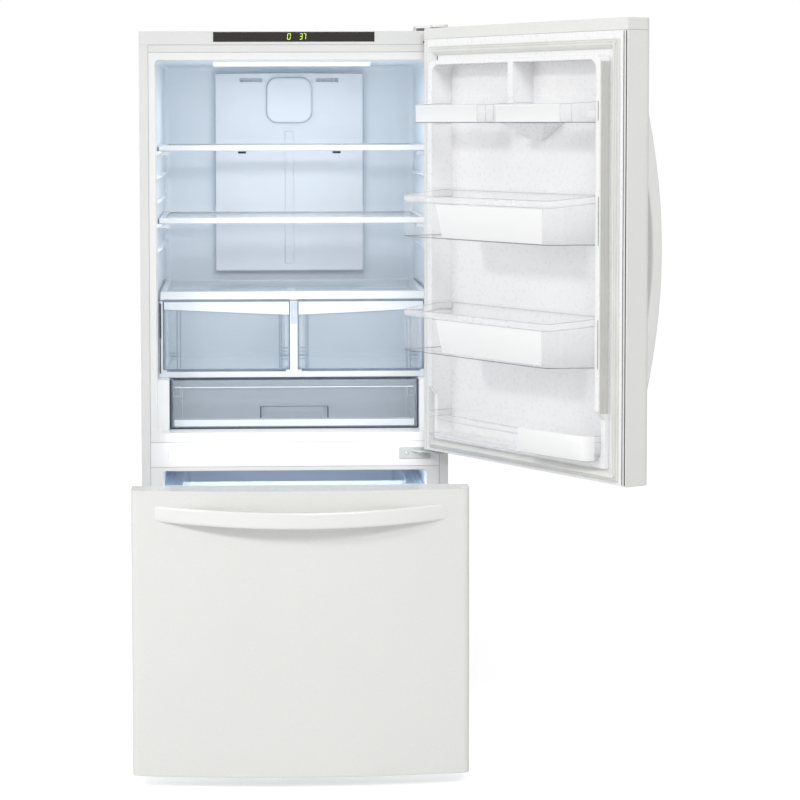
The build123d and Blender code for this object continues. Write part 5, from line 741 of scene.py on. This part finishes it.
def round_bin(plan, height, section, outset):
    """A section carried round a bin's plan at a height of its own for every point of the plan. The section's
    first measure runs outwards, along the plan's normal."""
    step = np.gradient(plan, axis=0)
    step /= np.linalg.norm(step, axis=1)[:, None]
    out = np.stack([-step[:, 1], step[:, 0], np.zeros(len(plan))], 1)
    return carried(np.column_stack([plan, np.broadcast_to(height, len(plan))]) + outset * out, out, Z, section)


LIP = round_section(3.2, 15.0, 1.2, 3)
THIN, FOOT = round_section(1.2, 1.3, 0.5, 2), round_section(1.5, 1.9, 0.6, 2)
full_plan = bin_plan(-BIN_HALF, BIN_HALF, 109.0, 3.0, 14.0, 50.0)
half_plans = (bin_plan(10.3, BIN_HALF, 76.0, 4.0, 16.0), bin_plan(-BIN_HALF, -10.3, 76.0, 4.0, 16.0, 34.0))
low_plan = bin_plan(-BIN_HALF, BIN_HALF, 36.0, 18.0, 18.0)
for name, floor in (("middle_bin", 1217.0), ("lower_bin", 945.0)):
    top = floor + np.interp(full_plan[:, 1], (20.0, 101.0), (FULL_BIN_BACK_TALL, FULL_BIN_FRONT_TALL))
    new_piece(
        name + "_lip", opened(round_bin(full_plan, top - 7.2, LIP, -0.6)), lip_plastic, "refrigerator_door",
    )
    lines = [
        round_bin(full_plan, top + 0.6, THIN, 1.0),
        round_bin(full_plan, top - 15.5, THIN, 1.2),
        level(-BIN_HALF, BIN_HALF, BIN_BACK + 1.5, floor + FULL_BIN_BACK_TALL, THIN),
    ]
    new_piece(name + "_edges", opened(together(lines)), edge_plastic, "refrigerator_door")
    ends = [
        round_bin(full_plan, floor + 1.0, FOOT, 0.6),
        # Painted shadow: a dark bar where the bin's end shades the ring's face.
        upright(-316.0, RING_FACE, floor, floor + FULL_BIN_BACK_TALL, round_section(1.8, 1.0, 0.4, 2)),
    ]
    new_piece(name + "_foot", opened(together(ends)), edge_and_shadow_dark, "refrigerator_door")
for name, plan in zip(("hinge_side_bin", "latch_side_bin"), half_plans):
    lines = [
        round_bin(plan, HALF_BIN_FLOOR + np.interp(plan[:, 1], (15.0, 68.0), (46.0, 42.0)), THIN, 0.4),
        *(upright(x, 77.0, 1488.0, 1530.0, THIN) for x in (plan[:, 0].min() + 5.0, plan[:, 0].max() - 5.0)),
    ]
    new_piece(name + "_edges", opened(together(lines)), edge_plastic, "refrigerator_door")
    ends = [round_bin(plan, HALF_BIN_FLOOR + 1.0, FOOT, 0.6)]
    if name == "latch_side_bin":
        # Painted shadow: a dark bar where the bin's end shades the ring's face.
        ends.append(upright(-314.0, RING_FACE, 1492.0, 1535.0, round_section(1.6, 1.0, 0.4, 2)))
    new_piece(name + "_foot", opened(together(ends)), edge_and_shadow_dark, "refrigerator_door")
lines = [round_bin(low_plan, z, THIN, 0.5) for z in (738.4, 779.0, 793.0)]
new_piece("bottom_bin_edges", opened(together(lines)), edge_plastic, "refrigerator_door")

# ---------------------------------------------------------------- white fronts of the bins
# Gloss white ABS panels are clipped to the clear bins of the door: plates on the two full-width bins and on
# the bottom bin, and deeper bars with a rolled top on the two half-width bins.
gloss_white = shop_finish(
    "gloss_white", (0.88, 0.88, 0.88), 0.22, drift=0.006, grain=0.004, grain_size=2.0, coat=0.3,
)


def full_bin_panel(middle, tall):
    """A thin plate before the bin's front y = 109 + 3 (1 - (x / 299)^2). Its hinge-side end is cut slanting:
    there x grows with height, by a share that fades to nothing towards the other end."""
    x = np.linspace(144.0, -236.0, 40)
    front = 110.6 + 3.0 * (1.0 - (x / BIN_HALF) ** 2)
    spine = np.stack([x, front, np.full(len(x), middle)], 1)
    points, faces = carried(spine, Y, Z, round_section(2.4, tall, 1.1, 3))
    fade = np.clip((points[:, 0] + 50.0) / 194.0, 0, 1) ** 3
    points[:, 0] += fade * 13.5 * (points[:, 2] - middle) / (tall / 2)
    return points, faces


for name, middle, tall in (("middle_bin_panel", 1258.0, 77.0), ("lower_bin_panel", 989.0, 76.0)):
    new_piece(name, opened(full_bin_panel(middle, tall)), gloss_white, "refrigerator_door")


def half_bin_bar(x0, x1):
    """A white bar on a half-width bin: a plate whose top rolls over into a thicker rim."""
    section = np.array([
        (0.0, 0.0), (0.0, 32.0), (-1.4, 34.0), (-1.4, 38.6), (0.2, 40.2), (4.6, 40.2), (6.0, 38.8), (6.0, 34.4),
        (5.0, 32.6), (5.0, 1.0), (4.2, 0.0),
    ])
    x = np.linspace(x0, x1, 30)
    swell = 76.0 + 4.0 * (1.0 - ((x - (x0 + x1) / 2) / 144.0) ** 2)
    spine = np.stack([x, swell + 0.2, np.full(len(x), 1488.6)], 1)
    return carried(spine, Y, Z, section)


new_piece(
    "hinge_side_bin_bar", opened(half_bin_bar(281.0, 44.0)), gloss_white, "refrigerator_door",
    30.0,
)
new_piece(
    "latch_side_bin_bar", opened(half_bin_bar(-30.0, -257.0)), gloss_white, "refrigerator_door",
    30.0,
)
end_tab = level(-257.0, -302.0, 15.0, 1505.5, round_section(3.0, 16.0, 1.2, 3))
new_piece("latch_side_bin_tab", opened(end_tab), gloss_white, "refrigerator_door")
latch_part = low_plan[(low_plan[:, 0] < -60.0) & (low_plan[:, 1] > -8.0)]
bottom_panel = round_bin(latch_part, 766.5, round_section(2.2, 55.0, 1.0, 3), 1.6)
new_piece("bottom_bin_panel", opened(bottom_panel), gloss_white, "refrigerator_door")

# ---------------------------------------------------------------- crispers and pantry drawer
# Clear tubs with a frosted grip along the top of the front, flat stiffening posts and small stop catches. The
# walls' edges look dark blue, and dark strips paint the shade in the narrow gaps round the drawers.
grip_white = clear_finish("grip_white", (0.75, 0.79, 0.84), 0.80, 0.92, rough=0.25)
edge_and_gap_shade = shop_finish(
    "tub_edge_and_gap_shade", (0.17, 0.23, 0.30), 0.35, drift=0.12, drift_size=40.0, grain=0.004, grain_size=2.0,
)
gap_shade = shop_finish(
    "gap_shade", (0.030, 0.040, 0.058), 0.6, drift=0.15, drift_size=60.0, grain=0.01, grain_size=1.0,
)
POST_LINE, HAIR = round_section(1.3, 0.8, 0.3, 2), round_section(0.9, 0.8, 0.3, 2)
for name, side in (("crisper_left", -1), ("crisper_right", 1)):
    share = np.linspace(0, 1, 40)
    grip = edged_plate(side * (12.0 + 312.0 * share), 1008.0 + 14.5 * share ** 1.1, 1040.6, 115.2, 116.2)
    new_piece(name + "_grip", grip, grip_white, name)
    marks = [
        upright(side * x, 118.2, 873.0, 1009.0 + 0.035 * x, POST_LINE)
        for x in (11.4, 30.5, 35.5, 284.0, 292.0)
    ]
    marks.append(level(side * 11.5, side * 325.5, 119.6, 871.0, round_section(1.6, 2.0, 0.6, 2)))
    marks += [
        level(side * x0, side * x1, 118.0, z, round_section(0.9, tall, 0.4, 2))
        for x0, x1, z, tall in (
            (14.0, 34.0, 925.0, 1.4), (16.0, 33.0, 916.0, 1.2), (14.0, 34.0, 906.5, 3.6), (15.0, 33.0, 897.0, 1.4),
            (291.0, 309.0, 913.0, 1.6), (290.0, 310.0, 905.0, 2.0), (291.0, 309.0, 896.0, 1.0),
        )
    ]
    new_piece(name + "_lines", together(marks), edge_and_gap_shade, name)

# Dark strips paint the shade in the gaps beside the crisper tubs and round the pantry drawer.
gaps = [
    upright(-334.6, 117.2, 862.0, 1040.0, round_section(3.2, 0.8, 0.3, 2)),
    upright(-334.2, 116.9, 950.0, 1036.0, round_section(5.0, 0.8, 0.3, 2)),
    upright(332.6, 117.2, 862.0, 1040.0, round_section(2.2, 0.8, 0.3, 2)),
    upright(-308.4, 78.6, 728.0, 849.0, round_section(4.0, 0.8, 0.3, 2)),
    upright(308.4, 78.6, 728.0, 849.0, round_section(3.4, 0.8, 0.3, 2)),
    level(-309.0, 309.0, 77.4, 727.9, round_section(0.8, 3.6, 0.3, 2)),
]
new_piece("drawer_gap_shadows", together(gaps), gap_shade, "cabinet")
# Dark lines under the cover's front rim and along its ends paint the shade in the gaps to the tubs and the liner
# walls.
cover_gap_shadows = [
    level(-335.0, 335.0, 117.3, 1044.2, round_section(0.8, 2.6, 0.3, 2)),
    *(
        bar((side * 335.8, 117.3, 1042.0), (side * 334.4, 117.3, 1068.0), round_section(3.6, 0.8, 0.3, 2), X, Y)
        for side in (-1, 1)
    ),
    *(
        bar((side * 334.6, 118.0, 1067.2), (side * 334.6, 585.0, 1067.2), round_section(3.4, 1.4, 0.3, 2), X, Z)
        for side in (-1, 1)
    ),
]
new_piece("crisper_cover_gap_shadows", together(cover_gap_shadows), edge_and_gap_shade, "cabinet")
divider_plate = edged_plate(np.array([-7.4, 7.4]), 985.0, 1041.0, 116.6, 117.7)
divider_grey = shop_finish(
    "divider_grey", (0.44, 0.50, 0.57), 0.35, drift=0.05, drift_size=30.0, grain=0.01, grain_size=2.0,
)
new_piece("crisper_divider_cap", divider_plate, divider_grey, "cabinet")

pantry_white = [
    edged_plate(np.array([-299.0, 299.0]), 732.5, 749.0, 78.8, 79.7),
    level(-298.0, 298.0, 79.2, 830.0, round_section(0.9, 2.2, 0.3, 2)),
]
new_piece("pantry_front_bands", together(pantry_white), grip_white, "pantry_drawer")
# Dark marks paint the shade in the pull's recess.
pull_marks = [
    *(upright(side * 83.8, 79.3, 753.0, 781.0, round_section(2.6, 1.0, 0.3, 2)) for side in (-1, 1)),
    level(-84.0, 84.0, 79.3, 781.6, HAIR),
]
new_piece("pantry_pull_shade", together(pull_marks), gap_shade, "pantry_drawer")
pantry_lines = [
    *(seal_loop(9.6, 808.0, 832.5, HAIR, 1.0, 2, side * 292.5, 79.3) for side in (-1, 1)),
    *(upright(side * 279.0, 79.3, 751.0, 828.0, HAIR) for side in (-1, 1)),
    level(-298.0, 298.0, 79.3, 751.5, HAIR),
]
new_piece("pantry_front_lines", together(pantry_lines), edge_plastic, "pantry_drawer")

# The freezer tray's front corners and the two ribs of its front, seen through the gap over the drawer.
tray_lines = [
    upright(x, 59.2, 510.0, 594.0, round_section(wide, 0.8, 0.3, 2))
    for x, wide in ((-277.0, 2.2), (-128.0, 1.0), (138.0, 1.0), (272.0, 2.2))
]
new_piece("freezer_tray_lines", together(tray_lines), edge_and_gap_shade, "freezer_tray")

# ---------------------------------------------------------------- shelves
# Two tempered panes in white moulded frames. At each end a clear catch under the frame hooks on the ledge.
frame_moulding = shop_finish(
    "frame_moulding", (0.66, 0.69, 0.72), 0.28, drift=0.008, grain=0.006, grain_size=1.5, edge=1.5,
)
dress(frame_moulding, "shelf_frames", "crisper_frame")
catch_clear = clear_finish("catch_clear", (0.80, 0.86, 0.92), 0.45, 0.80)
catches, curls = [], []
for shelf in (1416.6, 1235.2):
    for side in (-1, 1):
        catches.append(level(side * 309.0, side * 333.0, 121.0, shelf - 5.0, round_section(5.0, 10.0, 2.0, 3)))
        curls += [
            seal_loop(2.6, shelf - 9.5, shelf - 1.0, round_section(0.9, 0.7, 0.3, 2), 2.5, 4, side * x, 117.8)
            for x in (314.0, 323.5)
        ]
new_piece("shelf_catches", together(catches), catch_clear, "cabinet")
new_piece("shelf_catch_hooks", together(curls), edge_plastic, "cabinet")

# ---------------------------------------------------------------- rear duct cover
# The cover over the cold air duct is clipped to the back wall. A thin shadow line runs round it and round the
# diffuser in it; two slots stay open under the upper shelf.
duct_shadow = shop_finish(
    "duct_shadow", (0.36, 0.42, 0.48), 0.6, drift=0.10, drift_size=60.0, grain=0.01, grain_size=1.0,
)
DUCT_TOP_HALF = 197.0
arch = np.linspace(-DUCT_TOP_HALF, DUCT_TOP_HALF, 30)
rise = 1 - (arch / DUCT_TOP_HALF) ** 2
duct_lines = [
    edged_plate(arch, 1618.4 + 2.0 * rise, 1620.6 + 2.4 * rise, 632.0, 632.6),
    *(upright(side * 200.2, 633.4, 1262.0, 1616.0, HAIR) for side in (-1, 1)),
    seal_loop(61.6, 1486.6, 1609.4, round_section(1.2, 0.7, 0.3, 2), 31.0, 9, 0.0, 632.3),
]
new_piece("duct_shadow_lines", together(duct_lines), duct_shadow, "cabinet")
# Dark plates behind the two open slots paint the shade inside them.
slot_section = round_section(1.0, 5.4, 0.3, 2)
slot_shade_plates = [level(x - 10.6, x + 10.6, 634.0, 1407.0, slot_section) for x in (-128.0, 128.0)]
new_piece("duct_slot_shade", together(slot_shade_plates), gap_shade, "cabinet")

# ---------------------------------------------------------------- ceiling light
# A frosted lens over a row of small lamps, lit while the door is open.
lens_frost = shop_finish("lens_frost", (0.90, 0.93, 0.95), 0.5, drift=0.01, grain=0.03, grain_size=3.0)
lens_frost.node_tree.nodes["Principled BSDF"].inputs["Emission Color"].default_value = (0.93, 0.97, 1.0, 1.0)
lens_frost.node_tree.nodes["Principled BSDF"].inputs["Emission Strength"].default_value = 0.35
dress(lens_frost, "light_lens")
soft_box("ceiling_lamp", (0.0, 0.292, 1.618), (0.0, 0.26, 0.9), 0.38, 0.07, 1.0, (0.90, 0.95, 1.0))

# ---------------------------------------------------------------- cold side behind the covers
# Evaporator of aluminium fins and tube, with a black fan before it.
fin_metal = shop_finish(
    "fin_metal", (0.72, 0.73, 0.74), 0.34, drift=0.05, drift_size=20.0, grain=0.01, grain_size=0.7, metal=1.0,
)
dress(fin_metal, "evaporator_coil")
black_moulding = shop_finish(
    "black_moulding", (0.03, 0.03, 0.032), 0.5, drift=0.12, drift_size=30.0, grain=0.02, grain_size=0.9,
)
dress(
    black_moulding, "evaporator_fan", "condenser_fan", "condenser_fan_motor", "drain_pan", "rear_rollers",
    "cord_gland",
)

# ---------------------------------------------------------------- telescopic slides
# Zinc-plated rolled steel in three parts a side, lightly greased, drawn marks along their length.
plated = shop_finish(
    "plated_steel", (0.62, 0.63, 0.64), 0.30, drift=0.06, drift_size=30.0, grain=0.004, grain_size=1.0,
    stretch=(1, 0.05, 1), metal=1.0, rough_drift=0.10,
)
dress(plated, "slide_rails_outer", "slide_rails_middle", "slide_rails_inner")

# ---------------------------------------------------------------- machine space
# Black enamelled compressor and wire-and-tube condenser; a grey board with louvres closes the space.
black_enamel = shop_finish(
    "black_enamel", (0.018, 0.018, 0.020), 0.32, drift=0.2, drift_size=60.0, grain=0.03, grain_size=3.0,
    coat=0.2,
)
dress(black_enamel, "compressor", "condenser_coil")
grey_board = shop_finish(
    "grey_board", (0.42, 0.44, 0.45), 0.6, drift=0.04, drift_size=90.0, grain=0.03, grain_size=1.2, edge=0.6,
)
dress(grey_board, "machine_cover")
foot_plastic = shop_finish(
    "foot_plastic", (0.45, 0.46, 0.47), 0.55, drift=0.05, drift_size=15.0, grain=0.02, grain_size=1.0,
    edge=1.0,
)
dress(foot_plastic, "levelling_leg_left", "levelling_leg_right")
base_moulding = shop_finish(
    "base_moulding", (0.70, 0.71, 0.71), 0.42, drift=0.02, grain=0.015, grain_size=1.2, edge=1.2,
)
dress(base_moulding, "base_grille")
